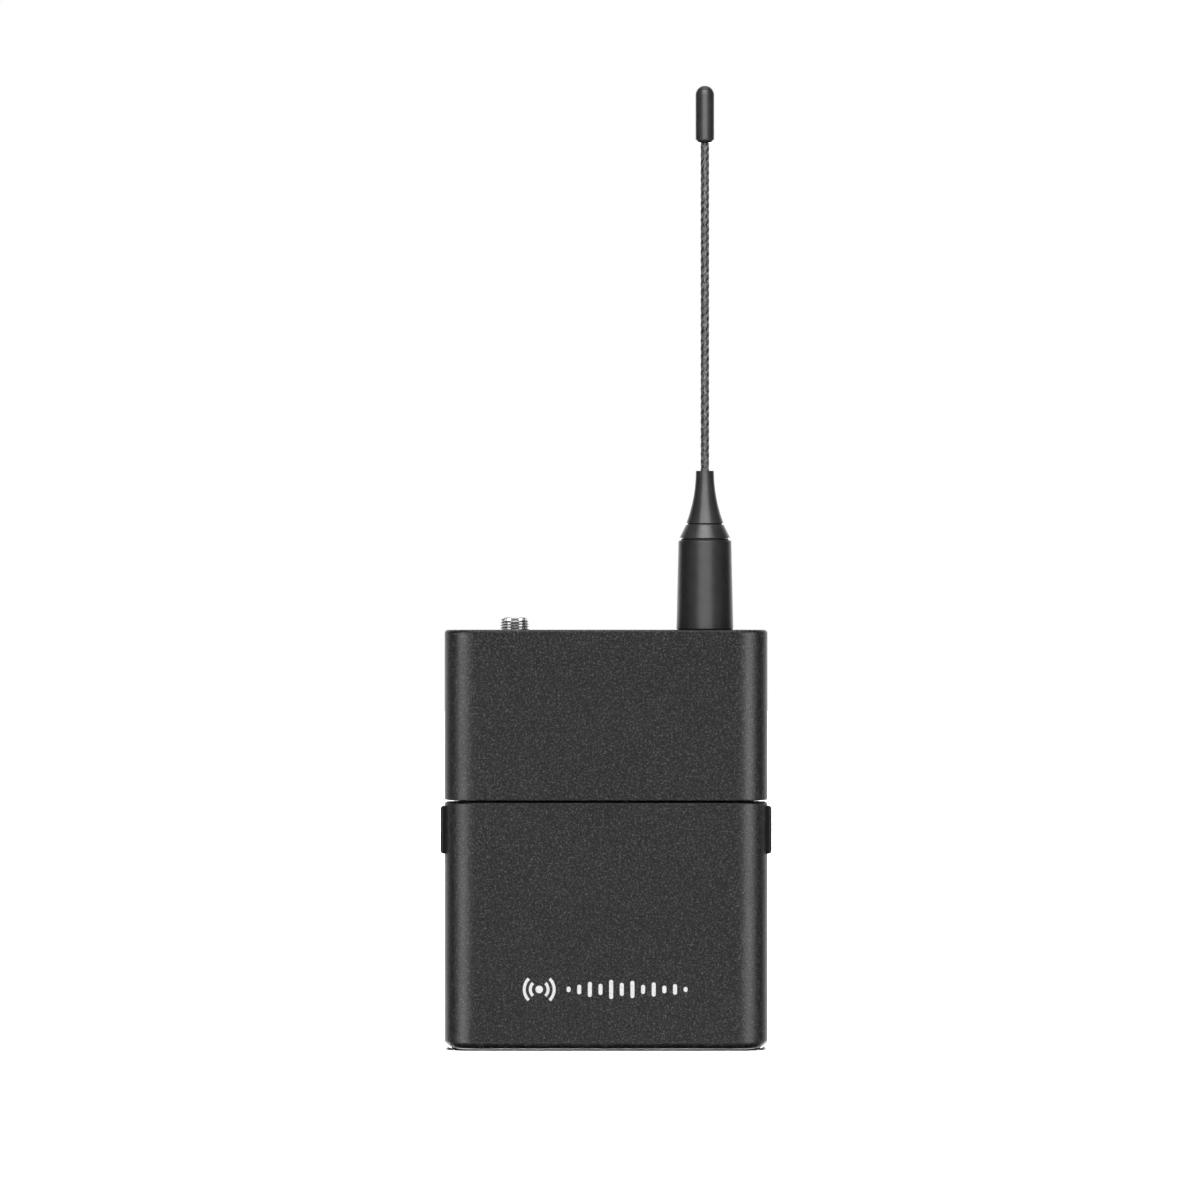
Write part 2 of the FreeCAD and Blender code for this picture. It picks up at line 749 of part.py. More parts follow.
def hinge_arm():
    """An arm from the hinge lug up and back to the bay's end wall, clear of the flap's swing."""
    axis_y, axis_z = size.hinge_back, size.hinge_height
    corners = [(axis_y + back, axis_z + up) for back, up in HINGE_ARM_OUTLINE]
    arm = slab("hinge_arm", "YZ_Plane", size.lug_inner, size.lug_outer - size.lug_inner, corners)
    lug = rod("hinge_lug", "x", (size.lug_inner, axis_y, axis_z), size.lug_radius,
              size.lug_outer - size.lug_inner)
    web = block("hinge_web", (size.lug_inner + 0.4, size.bay_front, axis_z + HINGE_WEB_BASE),
                (size.bay_width / 2 - 0.1, size.bay_front + 1.0, axis_z + HINGE_WEB_TOP))
    return fuse("hinge_bracket", arm, lug, web)


def bay_tray():
    outer = rounded_block("bay_outer", size.bay_width, 2 * size.bay_back, size.bay_corner,
                          size.bay_base, size.bay_top)
    hollow = rounded_block("bay_hollow", size.bay_width - 2 * size.bay_wall,
                           2 * (size.bay_back - size.bay_wall), size.bay_corner - size.bay_wall,
                           size.bay_base + size.bay_floor, size.bay_top - size.bulkhead)
    front = block("bay_front_space", (-REACH, -REACH, 0), (REACH, size.bay_front, REACH))
    return cut("bay_tray", outer, hollow, front)


CHASSIS_BOSS_RADIUS = 2.2
COLLAR_BOSS_RADIUS = 2.0
CHASSIS_BOSS_FRONT = 2.5
LEDGE_INNER, LEDGE_BACK = 23.5, 0.2
LINK_SLOT_HALF_WIDTH = 6.0
LINK_SLOT_FRONT, LINK_SLOT_BACK = -2.5, 5.2


def inner_chassis():
    """One moulding: battery tray, control bay, deck and the collar that the housing fits over."""
    cheek = block("chassis_cheek", (size.cheek_outer - size.bay_wall, size.panel_front + size.panel_thick,
                                    size.bay_top - size.bulkhead),
                  (size.cheek_outer, size.bay_back - 0.4, size.deck_base + 0.3))
    ledge = block("chassis_ledge",
                  (LEDGE_INNER, size.control_board_front + size.control_board_thick, size.bay_top),
                  (size.cheek_outer, LEDGE_BACK, size.deck_base + 0.3))
    boss = rod("chassis_boss", "y", (CASE_SCREW_ACROSS, CHASSIS_BOSS_FRONT, SHELL_SCREW_HEIGHT),
               CHASSIS_BOSS_RADIUS, size.bay_back - CHASSIS_BOSS_FRONT - 0.3)
    collar_boss = rod("chassis_collar_boss", "y",
                      (CASE_SCREW_ACROSS, CHASSIS_BOSS_FRONT, HOUSING_SCREW_HEIGHT),
                      COLLAR_BOSS_RADIUS, size.bay_back - CHASSIS_BOSS_FRONT - 0.7)
    sides = []
    for name, item in (("chassis_cheek", cheek), ("chassis_ledge", ledge), ("chassis_boss", boss),
                       ("chassis_collar_boss", collar_boss), ("hinge_bracket", hinge_arm())):
        sides.extend(on_both_sides(name, item))
    back = block("chassis_back",
                 (-size.cheek_outer, size.bay_back - size.bay_wall, size.bay_top - size.bulkhead),
                 (size.cheek_outer, size.bay_back, size.deck_base + 0.3))
    shelf = block("chassis_shelf",
                  (-size.cheek_outer, size.panel_front, size.bay_top - size.bulkhead),
                  (size.cheek_outer, size.bay_front + 0.5, size.bay_top))
    collar_width = INNER_WIDTH - 2 * size.collar_inset
    collar_depth = INNER_DEPTH - 2 * size.collar_inset
    collar_radius = INNER_RADIUS - size.collar_inset
    deck = rounded_block("chassis_deck", collar_width, collar_depth, collar_radius,
                         size.deck_base, size.collar_top)
    well = rounded_block("chassis_well", collar_width - 2 * size.collar_wall,
                         collar_depth - 2 * size.collar_wall, collar_radius - size.collar_wall,
                         size.deck_base + size.deck_thick, size.collar_top + OVERCUT)
    solid = fuse("chassis_solid", bay_tray(), cut("chassis_collar", deck, well), back, shelf, *sides)
    cutters = [block("chassis_link_slot",
                     (-LINK_SLOT_HALF_WIDTH, LINK_SLOT_FRONT, size.deck_base - OVERCUT),
                     (LINK_SLOT_HALF_WIDTH, LINK_SLOT_BACK, size.deck_base + size.deck_thick + OVERCUT))]
    for height in (SHELL_SCREW_HEIGHT, HOUSING_SCREW_HEIGHT):
        for side in (-1, 1):
            cutters.append(rod("chassis_screw_bore_%d" % len(cutters), "y",
                               (side * CASE_SCREW_ACROSS, CHASSIS_BOSS_FRONT + 0.7, height),
                               size.screw_radius, REACH))
    for side in (-1, 1):
        cutters.append(rod("chassis_pin_bore_%d" % len(cutters), "x",
                           (side * (size.lug_inner + size.lug_outer) / 2 - size.lug_outer + size.lug_inner,
                            size.hinge_back, size.hinge_height),
                           size.pin_radius, 2 * (size.lug_outer - size.lug_inner)))
    return cut("inner_chassis", solid, *cutters)


# ---------------------------------------------------------------- cells and contacts

CELL_FOOT_EDGE = sized(0.5)
CELL_HEAD_EDGE = sized(0.6)
CELL_RECESS = 0.25
CELL_RECESS_RADIUS = 5.0
NUB_RADIUS = sized(2.75)
NUB_HEIGHT = 1.2
NUB_EDGE = 0.3


def cell(name, up, along, side):
    """A round cell with its nub, shoulder and crimped ends, lying across the bay."""
    r, foot, head = size.cell_radius, CELL_FOOT_EDGE, CELL_HEAD_EDGE
    can = size.cell_length - NUB_HEIGHT
    nub_face = size.cell_length - NUB_EDGE
    corners = [
        (0, CELL_RECESS),
        (CELL_RECESS_RADIUS, CELL_RECESS),
        (CELL_RECESS_RADIUS + 0.4, 0),
        (r - foot, 0, r - foot, foot, 1),
        (r, foot),
        (r, can - head, r - head, can - head, 1),
        (r - head, can),
        (NUB_RADIUS + 0.85, can),
        (NUB_RADIUS, can + 0.35),
        (NUB_RADIUS, nub_face, NUB_RADIUS - NUB_EDGE, nub_face, 1),
        (NUB_RADIUS - NUB_EDGE, size.cell_length),
        (0, size.cell_length),
    ]
    start = side * (size.cell_tip - size.cell_length)
    return turned(name, corners, (start, size.cell_back, up), along)


CELLS = (
    ("upper", size.upper_cell_height, "x", 1),
    ("lower", size.lower_cell_height, "-x", -1),
)
BAY_END = size.bay_width / 2 - size.bay_wall
OPPOSITE = {"x": "-x", "-x": "x"}
CONTACT_HALF_WIDTH = 3.8
CONTACT_HALF_HEIGHT = 4.5
CONTACT_FACE = BAY_END - size.contact_sheet
DOME_FOOT, DOME_HEAD = 2.8, 1.6
SPRING_WIRE = 0.4
SPRING_HEAD = 2.3
SPRING_SPREAD = 1.6
SPRING_TURNS = 3


def contact_plate(name, up, side):
    """A thin plate on the bay's end wall, behind one end of a cell."""
    ends = sorted((side * CONTACT_FACE, side * BAY_END), key=lambda end: end.value)
    return block(name, (ends[0], size.cell_back - CONTACT_HALF_WIDTH, up - CONTACT_HALF_HEIGHT),
                 (ends[1], size.cell_back + CONTACT_HALF_WIDTH, up + CONTACT_HALF_HEIGHT))


def positive_contacts():
    """A plate on each bay end wall with a dome that meets the cell's nub."""
    plates = []
    for name, up, along, side in CELLS:
        plate = contact_plate(name + "_plate", up, side)
        dome = cone(name + "_dome", OPPOSITE[along], (side * CONTACT_FACE, size.cell_back, up),
                    DOME_FOOT, DOME_HEAD, CONTACT_FACE - size.cell_tip)
        plates.append(fuse(name + "_positive", plate, dome))
    return group("positive_contacts", *plates)


def negative_contacts():
    """A plate on each bay end wall with a cone spring that presses on the cell's flat end."""
    springs = []
    for name, up, along, side in CELLS:
        plate = contact_plate(name + "_negative_plate", up, -side)
        near = size.cell_length - size.cell_tip - CELL_RECESS + SPRING_WIRE
        length = CONTACT_FACE - near - 0.3
        flare = math.degrees(math.atan(SPRING_SPREAD / length.value))
        start = (-side * near, size.cell_back, up)
        spring = coil(name + "_spring", OPPOSITE[along], start, SPRING_WIRE, SPRING_HEAD, length,
                      SPRING_TURNS, flare)
        springs.append(fuse(name + "_negative", plate, spring))
    return group("negative_contacts", *springs)


# ---------------------------------------------------------------- controls under the flap

PANEL_BACK = size.panel_front + size.panel_thick
CONTROL_BOARD_BACK = size.control_board_front + size.control_board_thick
WINDOW_HALF_WIDTH = 1.5
WINDOW_HALF_HEIGHT = 0.8
SYNC_RADIUS = 2.4
SYNC_DIMPLE_RADIUS = 1.1
FLANGE_MARGIN = 0.8
FLANGE_FRONT = PANEL_BACK + 0.1
FLANGE_THICK = 0.7
STEM_RADIUS = 1.2
STEM_LENGTH = 0.3
POWER_HALF_WIDTH = 3.6
POWER_HALF_HEIGHT = 2.1


def control_panel():
    plate = block("panel_plate", (-size.cheek_outer, size.panel_front, size.bay_top),
                  (size.cheek_outer, PANEL_BACK, size.seam_base))
    gap = size.button_gap
    power = block("panel_power_hole",
                  (-size.button_offset - POWER_HALF_WIDTH - gap, size.panel_front - OVERCUT,
                   size.button_height - POWER_HALF_HEIGHT - gap),
                  (-size.button_offset + POWER_HALF_WIDTH + gap, 0,
                   size.button_height + POWER_HALF_HEIGHT + gap))
    sync = rod("panel_sync_hole", "y",
               (size.button_offset, size.panel_front - OVERCUT, size.button_height),
               SYNC_RADIUS + gap, 4)
    window = block("panel_window_hole",
                   (-WINDOW_HALF_WIDTH, size.panel_front - OVERCUT,
                    size.button_height - WINDOW_HALF_HEIGHT),
                   (WINDOW_HALF_WIDTH, 0, size.button_height + WINDOW_HALF_HEIGHT))
    return cut("control_panel", plate, power, sync, window)


def indicator_window():
    return block("indicator_window",
                 (-WINDOW_HALF_WIDTH, size.panel_front, size.button_height - WINDOW_HALF_HEIGHT),
                 (WINDOW_HALF_WIDTH, PANEL_BACK + 0.4, size.button_height + WINDOW_HALF_HEIGHT))


def power_button():
    cap = slab("power_cap", "XZ_Plane", -FLANGE_FRONT, FLANGE_FRONT - size.button_front,
               rounded_rectangle(sized(POWER_HALF_WIDTH), sized(POWER_HALF_HEIGHT), sized(0.8),
                                 -size.button_offset, size.button_height))
    half_width, half_height = POWER_HALF_WIDTH + FLANGE_MARGIN, POWER_HALF_HEIGHT + FLANGE_MARGIN
    flange = block("power_flange",
                   (-size.button_offset - half_width, FLANGE_FRONT, size.button_height - half_height),
                   (-size.button_offset + half_width, FLANGE_FRONT + FLANGE_THICK,
                    size.button_height + half_height))
    stem = rod("power_stem", "y", (-size.button_offset, FLANGE_FRONT + FLANGE_THICK, size.button_height),
               STEM_RADIUS, STEM_LENGTH)
    return fuse("power_button", cap, flange, stem)


def sync_button():
    at = size.button_offset, size.button_height
    cap = rod("sync_cap", "y", (at[0], size.button_front, at[1]), SYNC_RADIUS,
              FLANGE_FRONT - size.button_front)
    flange = rod("sync_flange", "y", (at[0], FLANGE_FRONT, at[1]), SYNC_RADIUS + FLANGE_MARGIN,
                 FLANGE_THICK)
    stem = rod("sync_stem", "y", (at[0], FLANGE_FRONT + FLANGE_THICK, at[1]), STEM_RADIUS, STEM_LENGTH)
    dimple = rod("sync_dimple", "y", (at[0], size.button_front - OVERCUT, at[1]), SYNC_DIMPLE_RADIUS,
                 OVERCUT + 0.25)
    return cut("sync_button", fuse("sync_blank", cap, flange, stem), dimple)


CONTROL_BOARD_HALF_WIDTH = 24.8
TACT_HALF_SIDE = 3.0
TACT_DEPTH = 1.6
TACT_PLUNGER_RADIUS = 1.7
TACT_PLUNGER_LENGTH = 0.6


def control_board():
    return block("control_board",
                 (-CONTROL_BOARD_HALF_WIDTH, size.control_board_front, size.bay_top + 0.8),
                 (CONTROL_BOARD_HALF_WIDTH, CONTROL_BOARD_BACK, size.seam_base - 0.6))


def tact_switches():
    front = size.control_board_front - TACT_DEPTH
    switches = []
    for side in (-1, 1):
        middle = side * size.button_offset
        name = "tact_%d" % len(switches)
        base = block(name + "_base",
                     (middle - TACT_HALF_SIDE, front, size.button_height - TACT_HALF_SIDE),
                     (middle + TACT_HALF_SIDE, size.control_board_front,
                      size.button_height + TACT_HALF_SIDE))
        plunger = rod(name + "_plunger", "-y", (middle, front, size.button_height),
                      TACT_PLUNGER_RADIUS, TACT_PLUNGER_LENGTH)
        switches.append(fuse(name, base, plunger))
    return group("tact_switches", *switches)


SHEET_THICK = 0.3
LINK_WIDTH = 9.0
LINK_FOOT, LINK_LOW_BEND, LINK_HIGH_BEND, LINK_HEAD = 43.0, 48.0, 53.5, 58.5


def board_link():
    """Flat flexible link from the control board, up through the deck, to the main board."""
    near = CONTROL_BOARD_BACK
    far = size.board_front
    corners = [
        (near, LINK_FOOT),
        (near + SHEET_THICK, LINK_FOOT),
        (near + SHEET_THICK, LINK_LOW_BEND),
        (far, LINK_HIGH_BEND),
        (far, LINK_HEAD),
        (far - SHEET_THICK, LINK_HEAD),
        (far - SHEET_THICK, LINK_HIGH_BEND + 0.1),
        (near, LINK_LOW_BEND + 0.1),
    ]
    return slab("board_link", "YZ_Plane", -LINK_WIDTH / 2, LINK_WIDTH, corners)


# ---------------------------------------------------------------- main board

BOARD_SCREW_SHANK = 0.75
BOARD_SCREW_HEAD = 1.5
BOARD_SCREW_HEAD_THICK = 0.9
BOARD_SCREW_LENGTH = 3.4
BOARD_SCREW_SOCKET = 0.7
CAN_DEPTH = 2.2
CHIP_THICK = 1.0
CHIP_PLACES = ((-14, 64, 9, 9), (2, 66, 7, 7), (12, 62, 5, 6), (-3, 58, 6, 4))


def main_board():
    plate = block("board_plate", (-size.board_half_width, size.board_front, size.board_base),
                  (size.board_half_width, BOARD_BACK, size.board_top))
    holes = [rod("board_hole_%d" % number, "y",
                 (side * BOARD_SCREW_ACROSS, size.board_front - OVERCUT, up),
                 BOARD_SCREW_SHANK + 0.15, size.board_thick + 2 * OVERCUT)
             for number, (side, up) in enumerate((s, u) for s in (-1, 1) for u in BOARD_SCREW_HEIGHTS)]
    return cut("main_board", plate, *holes)


def board_screws():
    screws = []
    for side in (-1, 1):
        for up in BOARD_SCREW_HEIGHTS:
            name = "board_screw_%d" % len(screws)
            across = side * BOARD_SCREW_ACROSS
            head = rod(name + "_head", "-y", (across, size.board_front, up), BOARD_SCREW_HEAD,
                       BOARD_SCREW_HEAD_THICK)
            shank = rod(name + "_shank", "y", (across, size.board_front, up), BOARD_SCREW_SHANK,
                        BOARD_SCREW_LENGTH)
            socket = hexagon(name + "_socket", "y", (across, size.board_front - BOARD_SCREW_HEAD_THICK, up),
                             BOARD_SCREW_SOCKET, BOARD_SCREW_HEAD_THICK / 2)
            screws.append(cut(name, fuse(name + "_blank", head, shank), socket))
    return group("board_screws", *screws)


def shield_can(name, left, right, base, top):
    """A folded sheet cover, open towards the board."""
    front = size.board_front - CAN_DEPTH
    outer = block(name + "_outer", (left, front, base), (right, size.board_front, top))
    space = block(name + "_space", (left + SHEET_THICK, front + SHEET_THICK, base + SHEET_THICK),
                  (right - SHEET_THICK, size.board_front + OVERCUT, top - SHEET_THICK))
    return cut(name, outer, space)


def board_chips():
    """Packaged circuits on the back of the main board."""
    chips = []
    for left, base, width, height in CHIP_PLACES:
        chips.append(block("chip_%d" % len(chips), (left, BOARD_BACK, base),
                           (left + width, BOARD_BACK + CHIP_THICK, base + height)))
    return group("board_chips", *chips)


# ---------------------------------------------------------------- jack, mute slide and lights

JACK_SHOULDER = CEILING - 1.5
JACK_FOOT = 68.0
JACK_MOUTH = TOP + size.jack_stand
JACK_RIDGES = 4
JACK_SHOULDER_RADIUS = 4.0
JACK_CASE_HALF = 4.0
JACK_SLOT_HALF = 0.7
JACK_LEAF_HALF = 0.6


def jack_barrel():
    """The jack's outer sleeve: a shoulder under the top wall and a ridged, threaded neck above."""
    crest, valley, half_pitch = size.jack_crest, size.jack_root, size.jack_pitch / 2
    corners = [
        (size.jack_bore, JACK_SHOULDER),
        (JACK_SHOULDER_RADIUS, JACK_SHOULDER),
        (JACK_SHOULDER_RADIUS, CEILING),
        (crest, CEILING),
        (crest, TOP + 0.1),
    ]
    level = TOP + 0.1
    for _ in range(JACK_RIDGES):
        corners.append((valley, level + half_pitch * 0.8))
        corners.append((crest, level + half_pitch * 1.7))
        level = level + half_pitch * 2
        corners.append((crest, level))
    corners.append((size.jack_bore + 0.35, JACK_MOUTH))
    corners.append((size.jack_bore, JACK_MOUTH - 0.15))
    return turned("jack_barrel", corners, (size.jack_offset, 0, 0))


def jack_insulator():
    x = size.jack_offset
    near, far, half = 1.5, 3.4, JACK_SLOT_HALF
    case = block("jack_case", (x - JACK_CASE_HALF, -JACK_CASE_HALF, JACK_FOOT),
                 (x + JACK_CASE_HALF, size.board_front - 0.3, JACK_SHOULDER))
    bore = rod("jack_case_bore", "z", (x, 0, JACK_FOOT + 2), size.jack_bore + 0.1,
               JACK_SHOULDER - JACK_FOOT)
    slots = [block("jack_slot_%d" % number, (x - half, low, JACK_FOOT + 1 + 3 * number),
                   (x + half, high, JACK_SHOULDER - 1))
             for number, (low, high) in enumerate(((-far, -near), (near, far)))]
    side_slot = block("jack_slot_side", (x + near, -half, JACK_FOOT + 1),
                      (x + far, half, JACK_SHOULDER - 3))
    return cut("jack_insulator", case, bore, *slots, side_slot)


def jack_contacts():
    """Leaf springs that lie in the insulator's slots beside the plug bore."""
    x, half = size.jack_offset, JACK_LEAF_HALF
    near, far = size.jack_bore + 0.15, size.jack_bore + 0.15 + SHEET_THICK
    front = block("jack_leaf_front", (x - half, -far, JACK_FOOT + 1),
                  (x + half, -near, JACK_SHOULDER - 1.2))
    back = block("jack_leaf_back", (x - half, near, JACK_FOOT + 4),
                 (x + half, far, JACK_SHOULDER - 1.2))
    side = block("jack_leaf_side", (x + near, -half, JACK_FOOT + 1),
                 (x + far, half, JACK_SHOULDER - 3.2))
    return group("jack_contacts", front, back, side)


SLIDE_START = 0.2 - size.slot_length / 2
SLIDE_TOP = TOP - 0.3
SLIDE_PLATE_FRONT, SLIDE_PLATE_BACK = -2.6, 2.1
SLIDE_GROOVES = 5
GROOVE_SPACING = 0.8
GROOVE_HALF_WIDTH = 0.18
MUTE_SWITCH_BASE = 75.0
MUTE_SWITCH_HALF_WIDTH = 5.0
LIGHT_PIPE_BASE = 76.6
LIGHT_PIPE_FLANGE = 1.6
LED_BASE, LED_TOP = 75.2, 76.4


def mute_slide():
    """A ridged thumb slide, let into the top so that it can't be knocked."""
    grip = block("slide_grip", (SLIDE_START, 0.2 - size.slot_width / 2, CEILING - 0.2),
                 (SLIDE_START + size.slide_length, size.slot_width / 2 - 0.2, SLIDE_TOP))
    middle = SLIDE_START + size.slide_length / 2
    half_plate = size.slot_length / 2 + size.slide_travel / 2 + 0.8
    plate_middle = -size.slide_travel / 2
    plate = block("slide_plate", (plate_middle - half_plate, SLIDE_PLATE_FRONT, CEILING - 1.2),
                  (plate_middle + half_plate, SLIDE_PLATE_BACK, CEILING - 0.2))
    leg = block("slide_leg", (middle - 0.5, -0.7, CEILING - 2.2), (middle + 0.5, 0.7, CEILING - 1.2))
    grooves = []
    for number in range(SLIDE_GROOVES):
        across = middle + (number - SLIDE_GROOVES // 2) * GROOVE_SPACING
        grooves.append(block("slide_groove_%d" % number,
                             (across - GROOVE_HALF_WIDTH, -size.slot_width, SLIDE_TOP - 0.3),
                             (across + GROOVE_HALF_WIDTH, size.slot_width, SLIDE_TOP + OVERCUT)))
    return cut("mute_slide", fuse("slide_blank", grip, plate, leg), *grooves)


def mute_switch():
    return block("mute_switch", (-MUTE_SWITCH_HALF_WIDTH, -2, MUTE_SWITCH_BASE),
                 (MUTE_SWITCH_HALF_WIDTH, size.board_front, CEILING - 2.3))


def light_pipes():
    pipes = []
    for across in LIGHT_PIPES_ACROSS:
        corners = [
            (0, LIGHT_PIPE_BASE),
            (LIGHT_PIPE_RADIUS, LIGHT_PIPE_BASE),
            (LIGHT_PIPE_RADIUS, CEILING - 1.0),
            (LIGHT_PIPE_FLANGE, CEILING - 1.0),
            (LIGHT_PIPE_FLANGE, CEILING),
            (LIGHT_PIPE_RADIUS, CEILING),
            (LIGHT_PIPE_RADIUS, TOP - 0.1),
            (LIGHT_PIPE_RADIUS - 0.1, TOP),
            (0, TOP),
        ]
        pipes.append(turned("light_pipe_%d" % len(pipes), corners, (across, LIGHT_PIPE_BACK, 0)))
    return group("light_pipes", *pipes)


def status_leds():
    lamps = []
    for across in LIGHT_PIPES_ACROSS:
        lamps.append(block("status_led_%d" % len(lamps), (across - 1, LIGHT_PIPE_BACK - 0.8, LED_BASE),
                           (across + 1, size.board_front, LED_TOP)))
    return group("status_leds", *lamps)


# ---------------------------------------------------------------- antenna

STUD_RADIUS = 3.0
CORE_RADIUS = 2.4
FERRULE_TOP = TOP + size.ferrule_height
RING_BASE = FERRULE_TOP + size.ring_gap
RING_TOP = RING_BASE + size.ring_height
BOOT_BASE = RING_TOP + size.ring_gap
BOOT_TOP = BOOT_BASE + size.boot_height
ANTENNA_AT = (size.antenna_offset, 0, 0)
STUD_FOOT = 78.0
STUD_TOP = TOP + 4.0
STUD_SHOULDER = 4.4
STUD_BORE = size.whip_radius + 0.6
FERRULE_EDGE = sized(0.35)
BOOT_SOCKET = 1.4
BOOT_SOCKET_TOP = BOOT_BASE + 3.0
WHIP_FOOT = TOP + 6.0
TIP_BASE = TOP + size.tip_base
TIP_SOCKET_TOP = TIP_BASE + 5.0
TIP_LOW_EDGE = sized(0.9)


def antenna_stud():
    """A hollow stud held by its shoulder under the top wall; the ferrule clamps on to it."""
    corners = [
        (STUD_BORE, STUD_FOOT),
        (STUD_RADIUS, STUD_FOOT),
        (STUD_RADIUS, CEILING - 1.6),
        (STUD_SHOULDER, CEILING - 1.6),
        (STUD_SHOULDER, CEILING),
        (STUD_RADIUS, CEILING),
        (STUD_RADIUS, STUD_TOP),
        (STUD_BORE, STUD_TOP),
    ]
    return turned("antenna_stud", corners, ANTENNA_AT)


def antenna_ferrule():
    foot, head, edge = size.ferrule_foot, size.ferrule_head, FERRULE_EDGE
    corners = [
        (STUD_RADIUS, TOP),
        (foot - 0.25, TOP),
        (foot, TOP + 0.25),
        (head, FERRULE_TOP - edge, head - edge, FERRULE_TOP - edge, 1),
        (head - edge, FERRULE_TOP),
        (CORE_RADIUS, FERRULE_TOP),
        (CORE_RADIUS, STUD_TOP),
        (STUD_RADIUS, STUD_TOP),
    ]
    return turned("antenna_ferrule", corners, ANTENNA_AT)


def antenna_core():
    """The insulating spine inside the sleeve, whose edges show as two thin dark rings."""
    bore = size.whip_radius
    corners = [
        (bore, STUD_TOP),
        (CORE_RADIUS, STUD_TOP),
        (CORE_RADIUS, FERRULE_TOP),
        (size.ring_foot - 0.35, FERRULE_TOP),
        (size.ring_foot - 0.35, RING_BASE),
        (CORE_RADIUS, RING_BASE),
        (CORE_RADIUS, RING_TOP),
        (size.boot_foot - 0.3, RING_TOP),
        (size.boot_foot - 0.3, BOOT_BASE),
        (BOOT_SOCKET, BOOT_BASE),
        (BOOT_SOCKET, BOOT_SOCKET_TOP),
        (bore, BOOT_SOCKET_TOP),
    ]
    return turned("antenna_core", corners, ANTENNA_AT)


def antenna_collar():
    corners = [
        (CORE_RADIUS, RING_BASE),
        (size.ring_foot - 0.1, RING_BASE),
        (size.ring_foot, RING_BASE + 0.15),
        (size.ring_head, RING_TOP - 0.1),
        (size.ring_head - 0.1, RING_TOP),
        (CORE_RADIUS, RING_TOP),
    ]
    return turned("antenna_collar", corners, ANTENNA_AT)


def antenna_boot():
    """A flared sleeve whose hollow side is one arc, upright where it meets the whip."""
    bore = size.whip_radius
    foot, head, height = size.boot_foot, size.boot_head, size.boot_height
    spread = foot - head
    bend = (height * height + spread * spread) / (2 * spread)
    corners = [
        (BOOT_SOCKET, BOOT_BASE),
        (foot, BOOT_BASE, head + bend, BOOT_TOP, -1),
        (head, BOOT_TOP),
        (bore, BOOT_TOP),
        (bore, BOOT_SOCKET_TOP),
        (BOOT_SOCKET, BOOT_SOCKET_TOP),
    ]
    return turned("antenna_boot", corners, ANTENNA_AT)


def antenna_whip():
    return rod("antenna_whip", "z", (size.antenna_offset, 0, WHIP_FOOT), size.whip_radius,
               TIP_SOCKET_TOP - WHIP_FOOT)


def antenna_tip():
    base, low_edge = TIP_BASE, TIP_LOW_EDGE
    top = base + size.tip_length
    r = size.tip_radius
    corners = [
        (size.whip_radius, base),
        (r - low_edge, base, r - low_edge, base + low_edge, 1),
        (r, base + low_edge),
        (r, top - r, 0, top - r, 1),
        (0, top),
        (0, TIP_SOCKET_TOP),
        (size.whip_radius, TIP_SOCKET_TOP),
    ]
    return turned("antenna_tip", corners, ANTENNA_AT)


def antenna_feed_spring():
    """A bent leaf from the main board that presses on the foot of the antenna stud."""
    far, top = size.board_front, STUD_FOOT
    leaf_foot = top - 5.5
    tongue_front, tongue_back = -1.0, 0.5
    half_width = 1.5
    corners = [
        (far, leaf_foot),
        (far, top - 1.5),
        (far - 1.0, top - 1.0),
        (tongue_back, top),
        (tongue_front, top),
        (tongue_front, top - SHEET_THICK),
        (tongue_back, top - SHEET_THICK),
        (far - 1.1, top - 1.0 - SHEET_THICK),
        (far - SHEET_THICK, top - 1.5 - SHEET_THICK),
        (far - SHEET_THICK, leaf_foot),
    ]
    return slab("antenna_feed_spring", "YZ_Plane", size.antenna_offset - half_width, 2 * half_width,
                corners)


# ---------------------------------------------------------------- belt clip

def belt_clip():
    """Spring wire bent to a loop: pivot ends in the lugs, bowed legs and a cross-bar at the foot."""
    leg, wire = size.clip_leg.value, size.clip_wire.value
    pivot_y, pivot_z = size.clip_pivot_back.value, size.clip_pivot_height.value
    bow, foot_z = size.clip_bow_back.value, size.clip_foot_height.value
    pinch_y = HALF_DEPTH.value + wire + 0.2
    foot_y = pinch_y + 1.6
    end = size.clip_lug_outer.value - 0.4
    straight_down, bow_top, bow_base, pinch = 4.5, 10.0, 19.0, 6.0
    side = [
        (end, pivot_y, pivot_z),
        (leg, pivot_y, pivot_z),
        (leg, pivot_y, pivot_z - straight_down),
        (leg, bow, pivot_z - bow_top),
        (leg, bow, foot_z + bow_base),
        (leg, pinch_y, foot_z + pinch),
        (leg, foot_y, foot_z),
    ]
    radii = [2.0, 3.0, 4.0, 6.0, 5.0, 3.0]
    points = [FreeCAD.Vector(*point) for point in side]
    points += [FreeCAD.Vector(-x, y, z) for x, y, z in reversed(side)]
    path = wire_path(points, radii + radii[::-1])
    section = Part.Wire(Part.Circle(points[0], FreeCAD.Vector(1, 0, 0), wire).toShape())
    item = doc.addObject("Part::Feature", "belt_clip")
    item.Shape = path.makePipeShell([section], True, False)
    item.Placement = FreeCAD.Placement()
    return item


# ---------------------------------------------------------------- assembly

